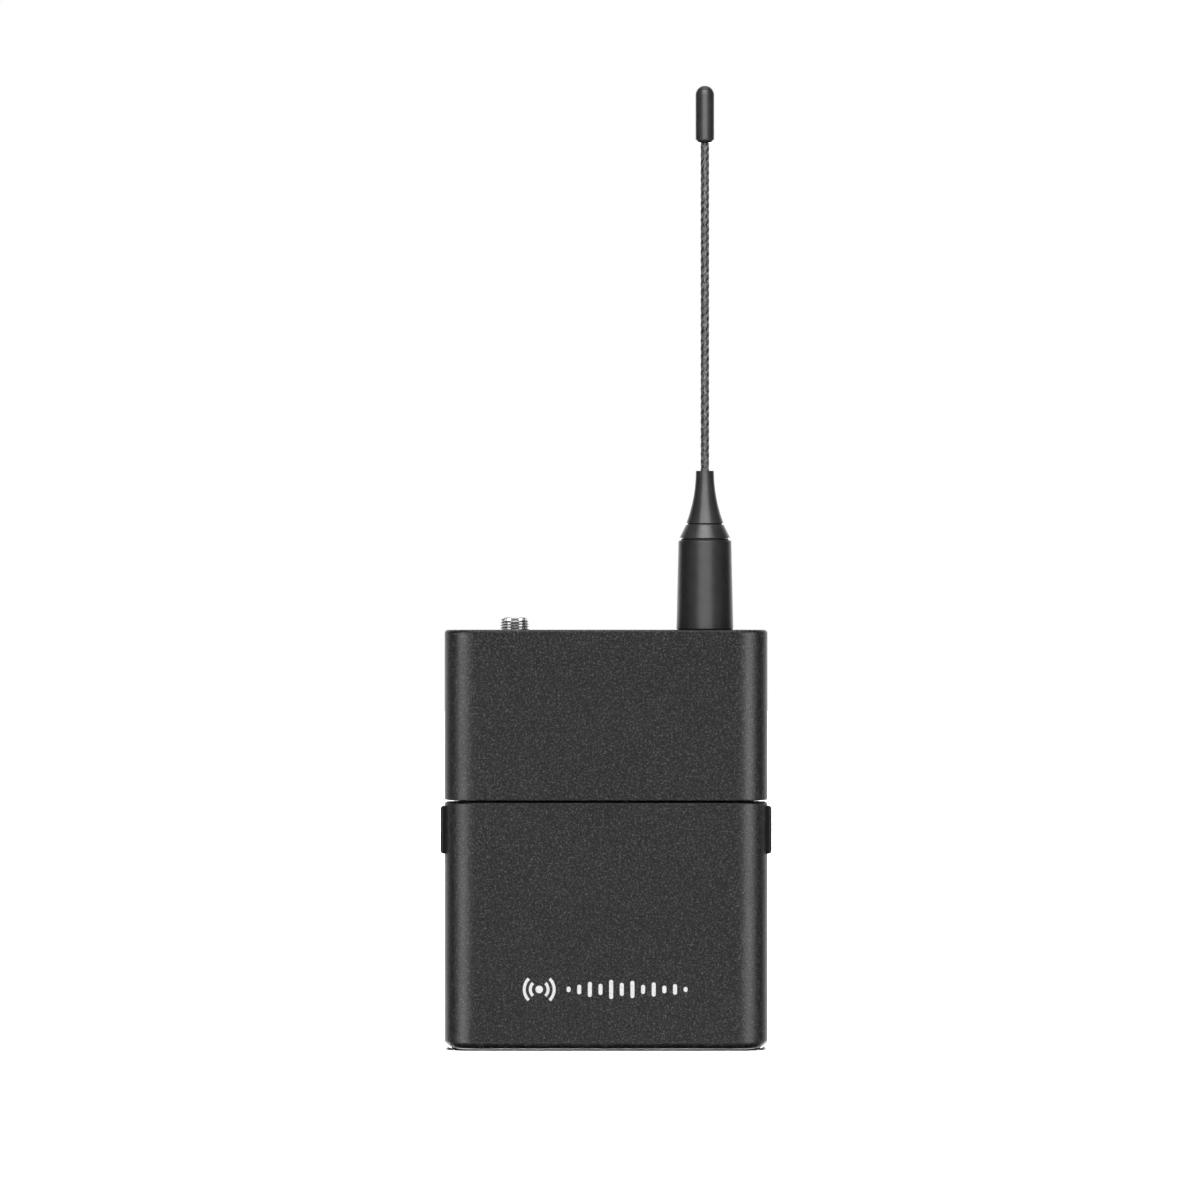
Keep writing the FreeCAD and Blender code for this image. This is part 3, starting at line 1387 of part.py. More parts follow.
def build_pieces():
    """Every piece by the name of its node."""
    right_latch = latch_right()
    right_spring = latch_spring_right()
    pieces = [
        upper_housing(), rear_shell(), battery_flap(), inner_chassis(), flap_hinge_pins(),
        case_screws(), rear_label(), belt_clip(),
        right_latch, mirrored("latch_left", right_latch),
        right_spring, mirrored("latch_spring_left", right_spring), latch_retainers(),
        *(cell("aa_cell_" + name, up, along, side) for name, up, along, side in CELLS),
        positive_contacts(), negative_contacts(),
        control_panel(), indicator_window(), power_button(), sync_button(),
        control_board(), tact_switches(), board_link(),
        main_board(), board_screws(), board_chips(),
        shield_can("rf_shield_can", 3, 20, 59, 71),
        shield_can("audio_shield_can", -20, -4.7, 56.5, 66),
        jack_barrel(), jack_insulator(), jack_contacts(),
        mute_slide(), mute_switch(), light_pipes(), status_leds(),
        antenna_stud(), antenna_ferrule(), antenna_core(), antenna_collar(), antenna_boot(),
        antenna_whip(), antenna_tip(), antenna_feed_spring(),
    ]
    return {piece.Label: piece for piece in pieces}


def check(pieces):
    """Stop if any object failed to build, or any piece isn't a sound solid."""
    failed = [item.Label for item in doc.Objects if {"Invalid", "Error"} & set(item.State)]
    for name, piece in pieces.items():
        if piece.Shape.isNull() or not piece.Shape.isValid() or not piece.Shape.Solids:
            failed.append(name)
    if failed:
        raise RuntimeError("failed to build: " + ", ".join(sorted(set(failed))))


def write(pieces):
    os.makedirs("parts", exist_ok=True)
    for name, piece in pieces.items():
        piece.Shape.exportStep(os.path.join("parts", name + ".step"))
        print("%-22s %d solids, %.1f cubic mm" % (name, len(piece.Shape.Solids), piece.Shape.Volume))


all_pieces = build_pieces()
doc.recompute()
check(all_pieces)
write(all_pieces)
print(len(all_pieces), "pieces")
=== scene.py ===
import json
import math

import bmesh
import bpy
from mathutils import Matrix, Vector


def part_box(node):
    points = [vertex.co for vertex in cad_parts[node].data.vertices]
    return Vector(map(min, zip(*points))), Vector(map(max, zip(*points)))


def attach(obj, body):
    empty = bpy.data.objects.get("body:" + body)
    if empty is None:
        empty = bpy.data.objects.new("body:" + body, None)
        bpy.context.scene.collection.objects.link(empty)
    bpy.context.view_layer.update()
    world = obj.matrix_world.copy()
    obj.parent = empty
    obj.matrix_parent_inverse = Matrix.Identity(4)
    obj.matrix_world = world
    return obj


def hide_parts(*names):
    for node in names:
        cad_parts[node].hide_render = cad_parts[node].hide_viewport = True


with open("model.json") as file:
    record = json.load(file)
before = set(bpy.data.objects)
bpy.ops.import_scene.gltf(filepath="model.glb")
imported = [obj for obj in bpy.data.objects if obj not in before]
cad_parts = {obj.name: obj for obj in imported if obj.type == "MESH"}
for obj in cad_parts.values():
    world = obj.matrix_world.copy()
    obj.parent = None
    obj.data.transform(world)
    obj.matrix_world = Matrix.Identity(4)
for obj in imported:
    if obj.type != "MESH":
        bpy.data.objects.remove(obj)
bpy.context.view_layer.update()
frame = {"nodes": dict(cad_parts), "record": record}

MM = 0.001
NODES = frame["nodes"]
SLOT_OF = {entry["node"]: entry["material_slot"] for entry in frame["record"]["subparts"]}


# ---------------------------------------------------------------- finishes

class Finish:
    """A node material that is built up from patterns in the object's own coordinates, in metres."""

    def __init__(self, name, colour, roughness, metallic=0.0, specular=0.5):
        self.material = bpy.data.materials.new(name)
        self.material.use_nodes = True
        self.material.diffuse_color = (*colour, 1.0)
        self.tree = self.material.node_tree
        self.shader = self.tree.nodes["Principled BSDF"]
        self.shader.inputs["Base Color"].default_value = (*colour, 1.0)
        self.shader.inputs["Roughness"].default_value = roughness
        self.shader.inputs["Metallic"].default_value = metallic
        self.shader.inputs["Specular IOR Level"].default_value = specular
        self.colour = colour
        self.place = self.tree.nodes.new("ShaderNodeTexCoord").outputs["Object"]
        self.relief = None

    def join(self, output, socket):
        self.tree.links.new(output, socket)

    def stretched(self, scale, centre=(0, 0, 0), turn=(0, 0, 0)):
        """The coordinates moved to a centre and scaled by an amount for each axis."""
        node = self.tree.nodes.new("ShaderNodeMapping")
        node.vector_type = "TEXTURE"
        node.inputs["Location"].default_value = centre
        node.inputs["Rotation"].default_value = turn
        node.inputs["Scale"].default_value = scale
        self.join(self.place, node.inputs["Vector"])
        return node.outputs["Vector"]

    def noise(self, grain, detail=2.0, place=None):
        """A soft random pattern whose patches are about one grain across."""
        node = self.tree.nodes.new("ShaderNodeTexNoise")
        node.inputs["Scale"].default_value = 1.0 / grain
        node.inputs["Detail"].default_value = detail
        self.join(place or self.place, node.inputs["Vector"])
        return node.outputs["Fac"]

    def pebbles(self, grain, place=None):
        """Round cells about one grain across, 0 at their middles."""
        node = self.tree.nodes.new("ShaderNodeTexVoronoi")
        node.inputs["Scale"].default_value = 1.0 / grain
        self.join(place or self.place, node.inputs["Vector"])
        return node.outputs["Distance"]

    def computed(self, kind, first, second):
        """The result of a sum of the given kind on two patterns or numbers."""
        node = self.tree.nodes.new("ShaderNodeMath")
        node.operation = kind
        for socket, value in zip(node.inputs, (first, second)):
            if isinstance(value, (int, float)):
                socket.default_value = value
            else:
                self.join(value, socket)
        return node.outputs["Value"]

    def away(self, pattern, place):
        """How far a pattern is from a place, whichever side it is on."""
        return self.computed("ABSOLUTE", self.computed("SUBTRACT", pattern, place), 0)

    def axis(self, letter, place=None):
        node = self.tree.nodes.new("ShaderNodeSeparateXYZ")
        self.join(place or self.place, node.inputs["Vector"])
        return node.outputs[letter]

    def spread(self, pattern, low, high, start=0.0, end=1.0):
        """Carries a pattern's values between low and high on to those between start and end."""
        node = self.tree.nodes.new("ShaderNodeMapRange")
        for name, value in (("From Min", low), ("From Max", high), ("To Min", start), ("To Max", end)):
            node.inputs[name].default_value = value
        self.join(pattern, node.inputs["Value"])
        return node.outputs["Result"]

    def shades(self, pattern, *stops):
        """Colours the surface by a pattern. A stop is (value, brightness) or (value, colour)."""
        node = self.tree.nodes.new("ShaderNodeValToRGB")
        ramp = node.color_ramp
        while len(ramp.elements) < len(stops):
            ramp.elements.new(0.5)
        for element, (value, shade) in zip(ramp.elements, stops):
            if isinstance(shade, (int, float)):
                shade = [shade * part for part in self.colour]
            element.position = value
            element.color = (*shade, 1.0)
        self.join(pattern, node.inputs["Fac"])
        return node.outputs["Color"]

    def coloured(self, output):
        self.join(output, self.shader.inputs["Base Color"])
        return self

    def mixed(self, amount, first, second):
        node = self.tree.nodes.new("ShaderNodeMix")
        node.data_type = "RGBA"
        self.join(amount, node.inputs["Factor"])
        for socket, value in ((node.inputs["A"], first), (node.inputs["B"], second)):
            if isinstance(value, tuple):
                socket.default_value = (*value, 1.0)
            else:
                self.join(value, socket)
        return node.outputs["Result"]

    def polished(self, pattern, low, high, start=0.3, end=0.7):
        """Lets the roughness wander between low and high with a pattern."""
        self.join(self.spread(pattern, start, end, low, high), self.shader.inputs["Roughness"])
        return self

    def bumped(self, pattern, depth, strength=1.0):
        """Adds relief of a depth in metres to any that is there already."""
        node = self.tree.nodes.new("ShaderNodeBump")
        node.inputs["Distance"].default_value = depth
        node.inputs["Strength"].default_value = strength
        self.join(pattern, node.inputs["Height"])
        if self.relief is not None:
            self.join(self.relief, node.inputs["Normal"])
        self.relief = node.outputs["Normal"]
        self.join(self.relief, self.shader.inputs["Normal"])
        return self


def speckled_casing():
    """Moulded shell with a fine grain and lighter flecks in its colour, partly its own speckle and partly
    painted glints of light off its tiny bumps, its polish wandering a little.
    """
    finish = Finish("speckled_casing", (0.0092, 0.0094, 0.0099), 0.42)
    fine = finish.noise(0.00021, 1.0)
    flecks = finish.noise(0.00040, 1.5)
    fine_part = finish.computed("MULTIPLY", fine, 0.55)
    grain = finish.computed("ADD", fine_part, finish.computed("MULTIPLY", flecks, 0.45))
    # The bright end of this ramp is partly the moulding's own speckle and partly painted glints: light
    # caught by the tiny bumps, put into the colour.
    finish.coloured(finish.shades(grain, (0.40, 0.1), (0.50, 0.60), (0.60, 5.0), (0.70, 11.0)))
    finish.polished(finish.noise(0.018, 3.0), 0.38, 0.46)
    finish.bumped(grain, 0.00005, 0.65)
    return finish


def latch_plastic():
    finish = Finish("latch_plastic", (0.003, 0.003, 0.0033), 0.36, specular=0.22)
    finish.coloured(finish.shades(finish.noise(0.004, 3.0), (0.35, 0.8), (0.65, 1.25)))
    finish.polished(finish.noise(0.0015, 3.0), 0.31, 0.42)
    finish.bumped(finish.noise(0.00012, 1.0), 0.000004, 0.6)
    return finish


def moulded(name, colour, roughness, grain=0.00035, depth=0.00001):
    """Plain moulded plastic with a spark-eroded texture."""
    finish = Finish(name, colour, roughness)
    finish.coloured(finish.shades(finish.noise(0.003, 4.0), (0.3, 0.75), (0.7, 1.3)))
    finish.polished(finish.noise(0.001, 2.0), roughness - 0.06, roughness + 0.06)
    finish.bumped(finish.pebbles(grain), depth, 0.7)
    return finish


def chassis_plastic():
    return moulded("chassis_plastic", (0.014, 0.014, 0.015), 0.48)


def panel_plastic():
    return moulded("panel_plastic", (0.020, 0.020, 0.022), 0.42, 0.00028, 0.000012)


def insulator_plastic():
    return moulded("insulator_plastic", (0.012, 0.012, 0.013), 0.55, 0.0002, 0.000006)


def button_rubber():
    finish = Finish("button_rubber", (0.085, 0.086, 0.090), 0.55, specular=0.4)
    finish.coloured(finish.shades(finish.noise(0.0012, 3.0), (0.3, 0.82), (0.7, 1.15)))
    finish.polished(finish.noise(0.0006, 2.0), 0.48, 0.62)
    finish.bumped(finish.noise(0.0001, 2.0), 0.000004, 0.8)
    return finish


def metal(name, colour, roughness, grain=0.0006, along=(1, 1, 1), depth=0.000002):
    """Plated or drawn metal whose marks run the way that it was worked."""
    finish = Finish(name, colour, roughness, metallic=1.0)
    marks = finish.noise(grain, 4.0, finish.stretched(along))
    finish.coloured(finish.shades(marks, (0.3, 0.86), (0.7, 1.06)))
    finish.polished(marks, roughness * 0.75, roughness * 1.3)
    finish.bumped(marks, depth, 0.5)
    return finish


def jack_nickel():
    return metal("jack_nickel", (0.56, 0.555, 0.54), 0.19, 0.0004, (4, 4, 0.3))


def contact_metal():
    return metal("contact_metal", (0.74, 0.70, 0.63), 0.26, 0.0003, (1, 1, 8))


def brass():
    return metal("brass", (0.72, 0.52, 0.24), 0.25, 0.0003, (4, 4, 0.4))


def spring_steel():
    return metal("spring_steel", (0.55, 0.55, 0.56), 0.28, 0.0002, (6, 1, 1))


def shield_tin():
    return metal("shield_tin", (0.66, 0.66, 0.64), 0.34, 0.0008, (8, 1, 1))


def screw_steel():
    return metal("screw_steel", (0.10, 0.10, 0.108), 0.30, 0.0005, (1, 1, 1), 0.000003)


def clip_wire():
    """Spring wire under a thin black coat that is paler in patches, as if worn."""
    finish = Finish("clip_wire", (0.018, 0.018, 0.020), 0.34)
    wear = finish.noise(0.0035, 5.0)
    finish.coloured(finish.shades(wear, (0.35, 0.8), (0.60, 1.1), (0.72, 2.2)))
    finish.polished(wear, 0.28, 0.42)
    finish.bumped(finish.noise(0.0002, 2.0), 0.000004, 0.8)
    return finish


def antenna_sleeve():
    """Satin sleeve with very fine turned lines."""
    finish = Finish("antenna_sleeve", (0.015, 0.0152, 0.016), 0.34)
    lines = finish.noise(0.00025, 2.0, finish.stretched((30, 30, 0.4)))
    finish.coloured(finish.shades(finish.noise(0.002, 4.0), (0.3, 0.85), (0.7, 1.15)))
    finish.polished(finish.noise(0.0012, 3.0), 0.31, 0.38)
    finish.bumped(lines, 0.000002, 0.6)
    return finish


def antenna_rubber():
    finish = Finish("antenna_rubber", (0.022, 0.022, 0.023), 0.33, specular=0.6)
    finish.coloured(finish.shades(finish.noise(0.0025, 4.0), (0.3, 0.8), (0.7, 1.2)))
    finish.polished(finish.noise(0.0009, 3.0), 0.29, 0.38)
    finish.bumped(finish.noise(0.00016, 2.0), 0.000005, 0.6)
    return finish


def antenna_core():
    return moulded("antenna_core", (0.006, 0.006, 0.0065), 0.62, 0.0002, 0.000004)


def whip_strand():
    """A thin black skin over twisted wires, with pale flecks scattered along it."""
    finish = Finish("whip_strand", (0.022, 0.0222, 0.023), 0.30, specular=0.8)
    flecks = finish.noise(0.00034, 2.0, finish.stretched((1, 1, 1.8)))
    finish.coloured(finish.shades(flecks, (0.38, 0.45), (0.52, 1.2), (0.60, 4.0), (0.70, 7.0)))
    finish.polished(flecks, 0.24, 0.42)
    finish.bumped(flecks, 0.00003, 0.6)
    return finish


def label_film():
    """Blank satin film with a thin pale frame a little inside its edge."""
    finish = Finish("label_film", (0.060, 0.061, 0.064), 0.38)
    low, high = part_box("rear_label")
    centre, half = (low + high) / 2, (high - low) / 2
    inset, line = 1.2 * MM, 0.25 * MM
    outward = [
        finish.computed("SUBTRACT", finish.away(finish.axis(letter), place), reach)
        for letter, place, reach in (("X", centre.x, half.x - inset), ("Z", centre.z, half.z - inset))
    ]
    nearest = finish.computed("MAXIMUM", *outward)
    frame_line = finish.computed("LESS_THAN", finish.computed("ABSOLUTE", nearest, 0), line / 2)
    film = finish.shades(finish.noise(0.005, 4.0), (0.3, 0.9), (0.7, 1.12))
    finish.coloured(finish.mixed(frame_line, film, (0.42, 0.43, 0.44)))
    finish.polished(finish.noise(0.002, 3.0), 0.33, 0.44)
    finish.bumped(finish.noise(0.0004, 2.0), 0.000003, 0.5)
    return finish


def circuit_board():
    """Solder mask with the tracks showing faintly under it."""
    finish = Finish("circuit_board", (0.010, 0.085, 0.035), 0.32)
    tracks = finish.noise(0.0011, 0.0, finish.stretched((0.4, 1, 2.2)))
    finish.coloured(finish.shades(tracks, (0.46, 0.8), (0.5, 1.7), (0.54, 0.8)))
    finish.polished(tracks, 0.27, 0.38)
    finish.bumped(tracks, 0.00001, 0.5)
    return finish


def chip_black():
    return moulded("chip_black", (0.013, 0.013, 0.014), 0.52, 0.00012, 0.000003)


def flex_film():
    finish = Finish("flex_film", (0.36, 0.15, 0.025), 0.26)
    tracks = finish.noise(0.0008, 0.0, finish.stretched((0.3, 1, 6)))
    finish.coloured(finish.shades(tracks, (0.46, 0.8), (0.5, 1.5), (0.54, 0.8)))
    finish.bumped(tracks, 0.000008, 0.5)
    return finish


def clear_lens():
    """Clear moulding with a little milk in it, so that a lamp behind it would glow evenly."""
    finish = Finish("clear_lens", (0.55, 0.58, 0.57), 0.12)
    finish.shader.inputs["IOR"].default_value = 1.49
    finish.shader.inputs["Transmission Weight"].default_value = 0.55
    milk = finish.noise(0.0008, 3.0)
    finish.coloured(finish.shades(milk, (0.3, 0.85), (0.7, 1.15)))
    finish.polished(milk, 0.08, 0.2)
    return finish


def led_body():
    return moulded("led_body", (0.62, 0.62, 0.56), 0.4, 0.0003, 0.000004)


def cell_sleeve():
    """Shrunk film round a cell: graphite, with one pale band and two thin lines near the raised end."""
    finish = Finish("cell_sleeve", (0.045, 0.048, 0.055), 0.30)
    film = finish.shades(finish.noise(0.004, 4.0), (0.3, 0.85), (0.7, 1.15))
    between_cells = (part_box("aa_cell_lower")[1].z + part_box("aa_cell_upper")[0].z) / 2
    upper = finish.computed("GREATER_THAN", finish.axis("Z"), between_cells)
    side = finish.computed("SUBTRACT", finish.computed("MULTIPLY", upper, 2.0), 1.0)
    along = finish.computed("MULTIPLY", finish.axis("X"), side)
    bands = None
    for place, half in ((15.6 * MM, 3.6 * MM), (10.4 * MM, 0.35 * MM), (9.0 * MM, 0.35 * MM)):
        band = finish.computed("LESS_THAN", finish.away(along, place), half)
        bands = band if bands is None else finish.computed("MAXIMUM", bands, band)
    finish.coloured(finish.mixed(bands, film, (0.46, 0.48, 0.50)))
    finish.polished(finish.noise(0.0018, 3.0), 0.24, 0.36)
    finish.bumped(finish.noise(0.0012, 2.0), 0.000006, 0.5)
    return finish


def cell_steel():
    return metal("cell_steel", (0.68, 0.68, 0.67), 0.24, 0.0005, (1, 3, 3))


def white_print():
    """Pad-printed ink, faintly uneven like the grain that it lies on."""
    finish = Finish("white_print", (0.80, 0.80, 0.79), 0.45)
    ink = finish.noise(0.00035, 2.0)
    finish.coloured(finish.shades(ink, (0.28, 0.80), (0.5, 1.0), (0.7, 1.06)))
    finish.polished(ink, 0.40, 0.52)
    finish.bumped(ink, 0.000008, 0.5)
    return finish


FINISHES = {make.__name__: make().material for make in (
    speckled_casing, latch_plastic, chassis_plastic, panel_plastic, insulator_plastic, button_rubber,
    jack_nickel, contact_metal, brass, spring_steel, shield_tin, screw_steel, clip_wire, antenna_sleeve,
    antenna_rubber, antenna_core, whip_strand, label_film, circuit_board, chip_black, flex_film, clear_lens,
    led_body, cell_sleeve, cell_steel, white_print)}

for name, node in NODES.items():
    for number in range(len(node.data.materials)):
        node.data.materials[number] = FINISHES[SLOT_OF[name]]


# ---------------------------------------------------------------- making pieces

SMOOTH_UNDER = math.radians(34)
LATHE_STEPS = 96


def lathe(corners, centre, steps=LATHE_STEPS):
    """A mesh turned from (radius, height) corners about an upright line through a centre."""
    mesh = bmesh.new()
    verts = [mesh.verts.new((radius, 0, height)) for radius, height in corners]
    edges = [mesh.edges.new(pair) for pair in zip(verts, verts[1:])]
    bmesh.ops.spin(mesh, geom=verts + edges, cent=(0, 0, 0), axis=(0, 0, 1), angle=math.tau, steps=steps,
                   use_merge=True)
    bmesh.ops.remove_doubles(mesh, verts=mesh.verts, dist=1e-6)
    bmesh.ops.transform(mesh, matrix=Matrix.Translation(centre), verts=mesh.verts)
    bmesh.ops.recalc_face_normals(mesh, faces=mesh.faces)
    return mesh


def merged(*parts):
    """One mesh from several."""
    whole = bmesh.new()
    for part in parts:
        data = bpy.data.meshes.new("part")
        part.to_mesh(data)
        part.free()
        whole.from_mesh(data)
        bpy.data.meshes.remove(data)
    return whole


def piece(name, mesh, finish, body, stands_for=()):
    """Puts a mesh in the scene as one piece of a body."""
    data = bpy.data.meshes.new(name)
    mesh.to_mesh(data)
    mesh.free()
    for entry in ([finish] if isinstance(finish, str) else finish):
        data.materials.append(FINISHES[entry])
    data.shade_smooth()
    data.set_sharp_from_angle(angle=SMOOTH_UNDER)
    made = bpy.data.objects.new(name, data)
    bpy.context.scene.collection.objects.link(made)
    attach(made, body)
    if stands_for:
        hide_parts(*stands_for)
    return made


def middle(node):
    low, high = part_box(node)
    return (low + high) / 2


# ---------------------------------------------------------------- antenna

WHIP_AXIS = middle("antenna_whip")
WHIP_FOOT, WHIP_HEAD = (corner.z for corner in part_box("antenna_whip"))
WHIP_RADIUS = (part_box("antenna_whip")[1].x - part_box("antenna_whip")[0].x) / 2


def twisted_whip():
    """Six wires laid round a core that nearly fills the twist, as a thin skin drawn over them would."""
    wires, steps_a_turn, lay = 6, 20, 9.6 * MM
    wire_radius = WHIP_RADIUS / 3
    steps = round((WHIP_HEAD - WHIP_FOOT) / lay * steps_a_turn)
    rise = (WHIP_HEAD - WHIP_FOOT) / steps
    strand = bmesh.new()
    ring = bmesh.ops.create_circle(strand, segments=9, radius=wire_radius * 1.04, matrix=Matrix.Translation(
        (WHIP_AXIS.x + WHIP_RADIUS - wire_radius * 1.04, WHIP_AXIS.y, WHIP_FOOT)))["verts"]
    geometry = ring + list(strand.edges)
    bmesh.ops.spin(
        strand, geom=geometry, cent=(WHIP_AXIS.x, WHIP_AXIS.y, 0), axis=(0, 0, 1), dvec=(0, 0, rise),
        angle=math.tau * steps / steps_a_turn, steps=steps)
    bmesh.ops.holes_fill(strand, edges=[edge for edge in strand.edges if edge.is_boundary])
    whole = [strand]
    for number in range(1, wires):
        copy = strand.copy()
        bmesh.ops.rotate(copy, verts=copy.verts, cent=(WHIP_AXIS.x, WHIP_AXIS.y, 0),
                         matrix=Matrix.Rotation(math.tau * number / wires, 3, "Z"))
        whole.append(copy)
    filled = WHIP_RADIUS * 0.91
    core = lathe(((0, WHIP_FOOT), (filled, WHIP_FOOT), (filled, WHIP_HEAD), (0, WHIP_HEAD)),
                 (WHIP_AXIS.x, WHIP_AXIS.y, 0), 36)
    mesh = merged(*whole, core)
    bmesh.ops.recalc_face_normals(mesh, faces=mesh.faces)
    return mesh


piece("twisted_whip", twisted_whip(), "whip_strand", "pack", ["antenna_whip"])


# ---------------------------------------------------------------- jack

JACK = middle("jack_barrel")
JACK_FOOT, JACK_MOUTH = (corner.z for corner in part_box("jack_barrel"))
CASE_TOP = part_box("upper_housing")[1].z


def threaded_jack():
    """A turned sleeve with a helical locking thread round its neck."""
    bore, root, crest, shoulder, pitch = 1.8 * MM, 2.59 * MM, 2.9 * MM, 4.0 * MM, 0.53 * MM
    ceiling = CASE_TOP - 1.8 * MM
    lip = 0.16 * MM
    neck = lathe((
        (bore, JACK_FOOT), (shoulder - 0.1 * MM, JACK_FOOT), (shoulder, JACK_FOOT + 0.1 * MM),
        (shoulder, ceiling), (root, ceiling), (root, JACK_MOUTH - lip), (root - lip, JACK_MOUTH),
        (bore + 0.32 * MM, JACK_MOUTH), (bore, JACK_MOUTH - 0.3 * MM), (bore, JACK_FOOT)),
        (JACK.x, JACK.y, 0))
    steps_a_turn, turns = 72, 6.6
    steps = round(steps_a_turn * turns)
    thread = bmesh.new()
    start = JACK_MOUTH - 0.12 * MM - turns * pitch - 0.44 * pitch
    corners = ((root - 0.1 * MM, -0.46), (root, -0.44), (crest - 0.03 * MM, -0.10), (crest, 0.0),
               (crest - 0.03 * MM, 0.10), (root, 0.44), (root - 0.1 * MM, 0.46))
    verts = [
        thread.verts.new((JACK.x + radius, JACK.y, start + height * pitch)) for radius, height in corners]
    edges = [thread.edges.new(pair) for pair in zip(verts, verts[1:] + verts[:1])]
    bmesh.ops.spin(thread, geom=verts + edges, cent=(JACK.x, JACK.y, 0), axis=(0, 0, 1),
                   dvec=(0, 0, pitch / steps_a_turn), angle=math.tau * turns, steps=steps)
    bmesh.ops.holes_fill(thread, edges=[edge for edge in thread.edges if edge.is_boundary])
    bmesh.ops.recalc_face_normals(thread, faces=thread.faces)
    return merged(neck, thread)


piece("threaded_jack", threaded_jack(), "jack_nickel", "pack", ["jack_barrel"])


# ---------------------------------------------------------------- cells

def dressed_cell(name, node, direction):
    """A cell in its shrunk sleeve, with bare can showing at both ends and a stepped collar round its nub."""
    low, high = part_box(node)
    radius, length = (high.z - low.z) / 2, high.x - low.x
    film, wrap = 0.12 * MM, 0.9 * MM
    can = length - 1.2 * MM
    steel = lathe((
        (0, 0.25 * MM), (5.0 * MM, 0.25 * MM), (5.4 * MM, 0), (radius - 0.8 * MM, 0),
        (radius - 0.3 * MM, 0.2 * MM), (radius - film, 0.7 * MM), (radius - film, can - 0.8 * MM),
        (radius - 0.5 * MM, can - 0.2 * MM), (radius - 1.1 * MM, can), (3.6 * MM, can - 0.1 * MM),
        (3.3 * MM, can + 0.25 * MM), (2.75 * MM, can + 0.35 * MM), (2.75 * MM, length - 0.4 * MM),
        (2.45 * MM, length - 0.05 * MM), (2.2 * MM, length), (0, length)), (0, 0, 0))
    sleeve = lathe((
        (radius - wrap, 0.02 * MM), (radius - 0.45 * MM, 0.05 * MM), (radius - 0.12 * MM, 0.3 * MM),
        (radius, 0.8 * MM), (radius, can - 0.9 * MM), (radius - 0.12 * MM, can - 0.35 * MM),
        (radius - 0.45 * MM, can - 0.02 * MM), (radius - wrap, can + 0.06 * MM),
        (radius - wrap, can - 0.06 * MM), (radius - 0.5 * MM, can - 0.16 * MM),
        (radius - film - 0.05 * MM, can - 0.9 * MM), (radius - film - 0.05 * MM, 0.8 * MM),
        (radius - 0.5 * MM, 0.2 * MM), (radius - wrap, 0.12 * MM), (radius - wrap, 0.02 * MM)), (0, 0, 0))
    for face in sleeve.faces:
        face.material_index = 1
    mesh = merged(steel, sleeve)
    start = Vector((low.x if direction > 0 else high.x, (low.y + high.y) / 2, (low.z + high.z) / 2))
    lay_down = Matrix.Rotation(direction * math.pi / 2, 4, "Y")
    bmesh.ops.transform(mesh, matrix=Matrix.Translation(start) @ lay_down, verts=mesh.verts)
    return piece(name, mesh, ["cell_steel", "cell_sleeve"], "pack", [node])


dressed_cell("cell_upper", "aa_cell_upper", 1)
dressed_cell("cell_lower", "aa_cell_lower", -1)


# ---------------------------------------------------------------- printed marks

INK = 0.03 * MM


def disc(x, z, radius, sides=48):
    mesh = bmesh.new()
    bmesh.ops.create_circle(mesh, cap_ends=True, segments=sides, radius=radius)
    return raised(mesh, x, z)


def raised(mesh, x, z):
    """Gives a flat shape the thickness of ink and stands it up facing the front."""
    body = bmesh.ops.extrude_face_region(mesh, geom=list(mesh.faces))
    top = [item for item in body["geom"] if isinstance(item, bmesh.types.BMVert)]
    bmesh.ops.translate(mesh, verts=top, vec=(0, 0, INK))
    bmesh.ops.transform(mesh, verts=mesh.verts,
                        matrix=Matrix.Translation((x, 0, z)) @ Matrix.Rotation(math.pi / 2, 4, "X"))
    bmesh.ops.recalc_face_normals(mesh, faces=mesh.faces)
    return mesh


def arc(x, z, radius, width, start, sweep, steps=20):
    """Part of a flat ring, from a start angle counted from the right, anticlockwise."""
    mesh = bmesh.new()
    turn = Matrix.Rotation(start, 3, "Z")
    ends = [mesh.verts.new(turn @ Vector((radius + side * width / 2, 0, 0))) for side in (-1, 1)]
    edge = mesh.edges.new(ends)
    bmesh.ops.spin(mesh, geom=[*ends, edge], cent=(0, 0, 0), axis=(0, 0, 1), angle=sweep, steps=steps)
    return raised(mesh, x, z)


def bar(x, z, width, height, rounding):
    mesh = bmesh.new()
    bmesh.ops.create_grid(mesh, x_segments=1, y_segments=1, size=0.5)
    bmesh.ops.scale(mesh, verts=mesh.verts, vec=(width, height, 1))
    bmesh.ops.bevel(mesh, geom=list(mesh.verts), offset=rounding, affect="VERTICES", segments=6, profile=0.5,
                    material=-1)
    return raised(mesh, x, z)


def printed(name, body, front, shapes):
    """Lays printed shapes on a front face at a given depth."""
    mesh = merged(*shapes)
    bmesh.ops.translate(mesh, verts=mesh.verts, vec=(0, front + INK / 3, 0))
    return piece(name, mesh, "white_print", body)


BAR_HEIGHTS_MM = (1.1, 1.9, 3.0, 2.2, 3.8, 2.6, 3.4, 1.8, 2.8, 1.5, 2.1, 1.0)


def wave_mark():
    """A dot between two pairs of arcs, then a row of level bars."""
    height, dot_x, first_bar_x, bar_pitch = 12.15 * MM, -13.2 * MM, -7.4 * MM, 2.1 * MM
    half_sweep = 0.8
    shapes = [disc(dot_x, height, 0.75 * MM)]
    for radius in (1.75 * MM, 2.95 * MM):
        for facing in (0, math.pi):
            shapes.append(arc(dot_x, height, radius, 0.6 * MM, facing - half_sweep, 2 * half_sweep))
    for number, tall in enumerate(BAR_HEIGHTS_MM):
        shapes.append(bar(first_bar_x + number * bar_pitch, height, 0.8 * MM, tall * MM, 0.38 * MM))
    return shapes


printed("wave_mark", "flap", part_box("battery_flap")[0].y, wave_mark())

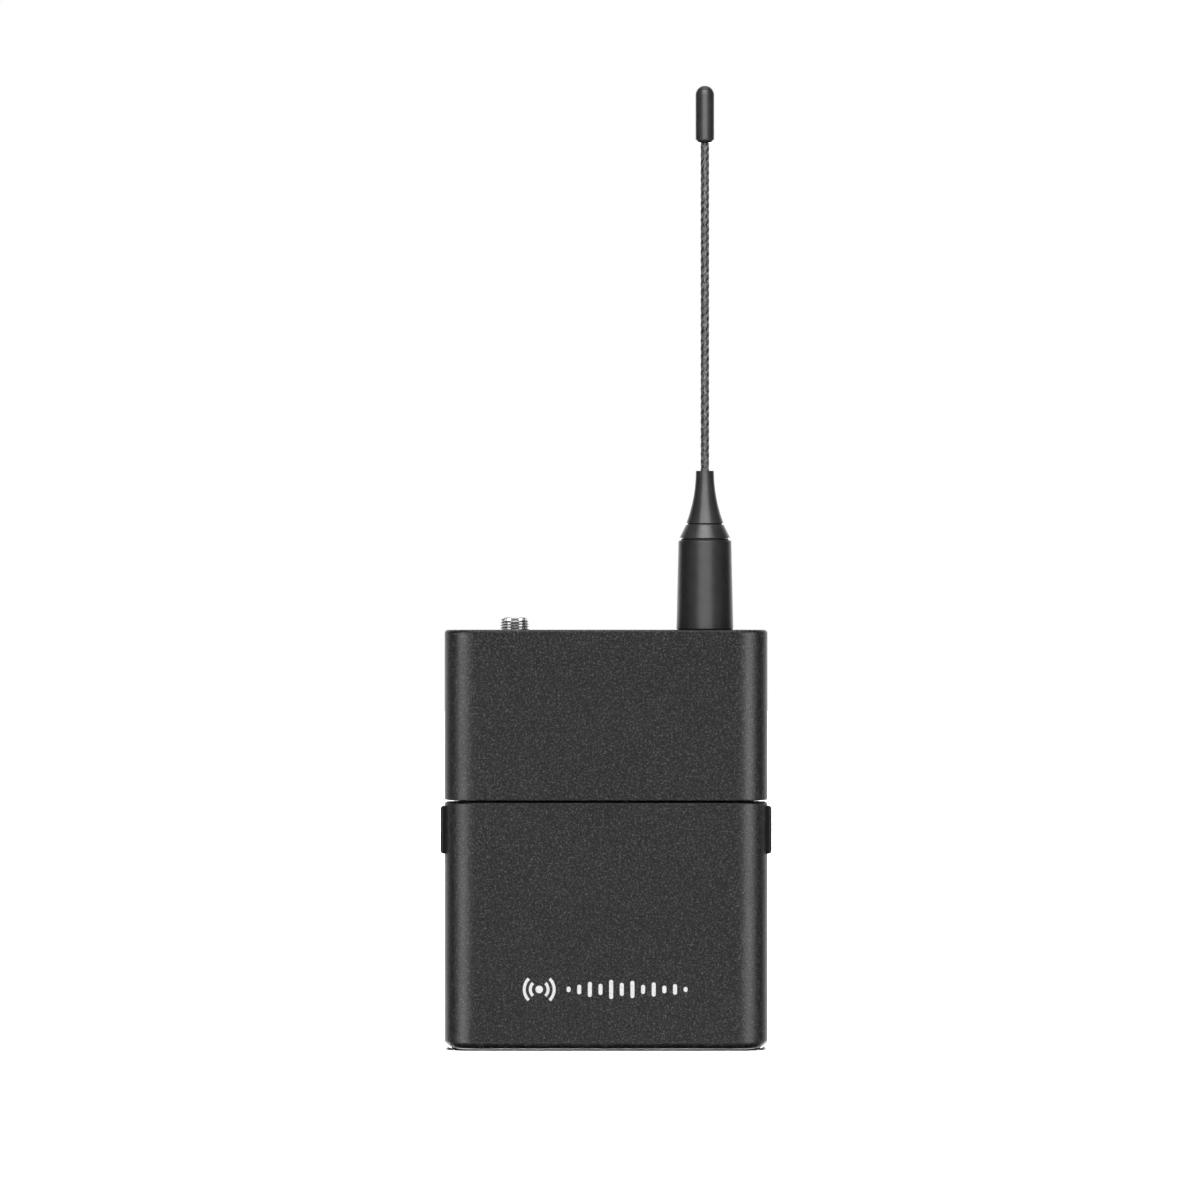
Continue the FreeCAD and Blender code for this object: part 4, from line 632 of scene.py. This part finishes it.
POWER = middle("power_button")
printed("power_sign", "power_key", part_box("power_button")[0].y, [
    arc(POWER.x, POWER.z, 1.05 * MM, 0.22 * MM, math.pi / 2 + 0.55, math.tau - 1.1, 40),
    bar(POWER.x, POWER.z + 0.9 * MM, 0.22 * MM, 1.1 * MM, 0.1 * MM)])
SYNC = middle("sync_button")
printed("sync_sign", "sync_key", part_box("sync_button")[0].y, [
    arc(SYNC.x, SYNC.z, 1.0 * MM, 0.22 * MM, start, 2.3, 24) for start in (0.42, math.pi + 0.42)])


# ---------------------------------------------------------------- studio

def stage_floor():
    mesh = bmesh.new()
    bmesh.ops.create_grid(mesh, x_segments=1, y_segments=1, size=6.0)
    data = bpy.data.meshes.new("floor")
    mesh.to_mesh(data)
    mesh.free()
    finish = Finish("pale_floor", (0.93, 0.93, 0.93), 0.9, specular=0.0)
    data.materials.append(finish.material)
    floor = bpy.data.objects.new("floor", data)
    bpy.context.scene.collection.objects.link(floor)
    floor.visible_glossy = False
    floor.visible_diffuse = False
    return floor


def only_on(light, name, objects):
    """Lets a light fall on the given objects alone."""
    group = bpy.data.collections.new(name)
    for thing in objects:
        group.objects.link(thing)
    light.light_linking.receiver_collection = group


def softbox(name, place, target, width, height, radiance):
    data = bpy.data.lights.new(name, "AREA")
    data.shape, data.size, data.size_y = "RECTANGLE", width, height
    data.energy = radiance * math.pi * width * height
    light = bpy.data.objects.new(name, data)
    light.location = place
    light.rotation_mode = "QUATERNION"
    light.rotation_quaternion = (Vector(target) - Vector(place)).to_track_quat("-Z", "Y")
    light.visible_camera = False
    bpy.context.scene.collection.objects.link(light)
    return light


def fill_ramp(ramp, stops):
    while len(ramp.elements) < len(stops):
        ramp.elements.new(0.5)
    for element, (value, shade) in zip(ramp.elements, stops):
        element.position = value
        element.color = (shade, shade, shade, 1.0)


# Brightness at shares of the way from front to back, and what it is multiplied by from below to above.
FRONT_TO_BACK = (
    (0.0, 0.27), (0.25, 0.19), (0.40, 0.02), (0.74, 0.02), (0.83, 0.60), (0.92, 1.4), (1.0, 1.8))
BELOW_TO_ABOVE = ((0.0, 0.1), (0.22, 0.1), (0.28, 7.0), (0.38, 7.0), (0.46, 1.0), (1.0, 1.0))


def surroundings():
    """Bright behind, dim in front, dark at the sides, brighter in a low band, plain white to the camera."""
    world = bpy.data.worlds.new("studio")
    world.use_nodes = True
    bpy.context.scene.world = world
    tree = world.node_tree
    direction = tree.nodes.new("ShaderNodeTexCoord").outputs["Generated"]
    split = tree.nodes.new("ShaderNodeSeparateXYZ")
    ramp = tree.nodes.new("ShaderNodeValToRGB")
    spread = tree.nodes.new("ShaderNodeMapRange")
    rays = tree.nodes.new("ShaderNodeLightPath")
    mix = tree.nodes.new("ShaderNodeMix")
    mix.data_type = "RGBA"
    background = tree.nodes["Background"]
    spread.inputs["From Min"].default_value = -1.0
    tree.links.new(direction, split.inputs[0])
    tree.links.new(split.outputs["Y"], spread.inputs["Value"])
    tree.links.new(spread.outputs["Result"], ramp.inputs["Fac"])
    fill_ramp(ramp.color_ramp, FRONT_TO_BACK)
    low_spread = tree.nodes.new("ShaderNodeMapRange")
    low_spread.inputs["From Min"].default_value = -1.0
    low_ramp = tree.nodes.new("ShaderNodeValToRGB")
    fill_ramp(low_ramp.color_ramp, BELOW_TO_ABOVE)
    tree.links.new(split.outputs["Z"], low_spread.inputs["Value"])
    tree.links.new(low_spread.outputs["Result"], low_ramp.inputs["Fac"])
    product = tree.nodes.new("ShaderNodeMix")
    product.data_type, product.blend_type = "RGBA", "MULTIPLY"
    product.inputs["Factor"].default_value = 1.0
    tree.links.new(ramp.outputs["Color"], product.inputs["A"])
    tree.links.new(low_ramp.outputs["Color"], product.inputs["B"])
    tree.links.new(rays.outputs["Is Camera Ray"], mix.inputs["Factor"])
    tree.links.new(product.outputs["Result"], mix.inputs["A"])
    mix.inputs["B"].default_value = (1.0, 1.0, 1.0, 1.0)
    tree.links.new(mix.outputs["Result"], background.inputs["Color"])


surroundings()
FLOOR = stage_floor()
HALF_WAY = Vector((0, 0, 0.09))
ANTENNA = {NODES[name] for name in NODES if name.startswith("antenna_")} | {bpy.data.objects["twisted_whip"]}
OTHERS = [thing for thing in bpy.context.scene.objects
          if thing.type == "MESH" and thing not in ANTENNA and thing is not FLOOR]

SIDE_ANGLE, SIDE_REACH, SIDE_HEIGHT = math.radians(53), 0.9, 0.04
for name, side in (("left_strip", -1), ("right_strip", 1)):
    place = (side * SIDE_REACH * math.sin(SIDE_ANGLE), -SIDE_REACH * math.cos(SIDE_ANGLE), SIDE_HEIGHT)
    strip = softbox(name, place, (0, 0, SIDE_HEIGHT), width=0.50, height=0.9, radiance=4.6)
    only_on(strip, name + "_falls_on", OTHERS)
ahead, along_antenna = (WHIP_AXIS.x, -1.0, 0.72), (WHIP_AXIS.x, 0, 0.13)
front = softbox("front_panel", ahead, along_antenna, width=1.35, height=1.5, radiance=3.75)
only_on(front, "front_panel_falls_on", ANTENNA)
softbox("overhead", (0, 0.1, 1.1), HALF_WAY, width=0.7, height=0.7, radiance=1.5)
softbox("upper_front", (0, -0.62, 0.98), HALF_WAY, width=0.7, height=0.35, radiance=3.2)

JACK_LAMP_REACH, JACK_LAMP_BACK, JACK_LAMP_HEIGHT = 0.78, 0.16, 0.10
for name, side in (("jack_left", -1), ("jack_right", 1)):
    place = (JACK.x + side * JACK_LAMP_REACH, JACK_LAMP_BACK, JACK_LAMP_HEIGHT)
    wing = softbox(name, place, JACK, width=0.7, height=0.5, radiance=1.6)
    only_on(wing, name + "_falls_on", [bpy.data.objects["threaded_jack"]])

sun_data = bpy.data.lights.new("floor_sun", "SUN")
sun_data.energy, sun_data.angle = 6.0, math.radians(60)
sun = bpy.data.objects.new("floor_sun", sun_data)
bpy.context.scene.collection.objects.link(sun)
only_on(sun, "floor_sun_falls_on", [FLOOR])

# What the camera sees at the case's own distance: a square this wide about this point.
FRAME_WIDTH, FRAME_X, FRAME_Z = 238.0 * MM, -1.2 * MM, 89.0 * MM
camera_data = bpy.data.cameras.new("camera")
camera_data.lens, camera_data.sensor_width = 300.0, 36.0
camera_data.clip_start, camera_data.clip_end = 0.05, 20.0
camera = bpy.data.objects.new("camera", camera_data)
camera.location = (FRAME_X, -FRAME_WIDTH * camera_data.lens / camera_data.sensor_width, FRAME_Z)
camera.rotation_euler = (math.pi / 2, 0, 0)
bpy.context.scene.collection.objects.link(camera)
bpy.context.scene.camera = camera
bpy.context.scene.view_settings.view_transform = "Standard"
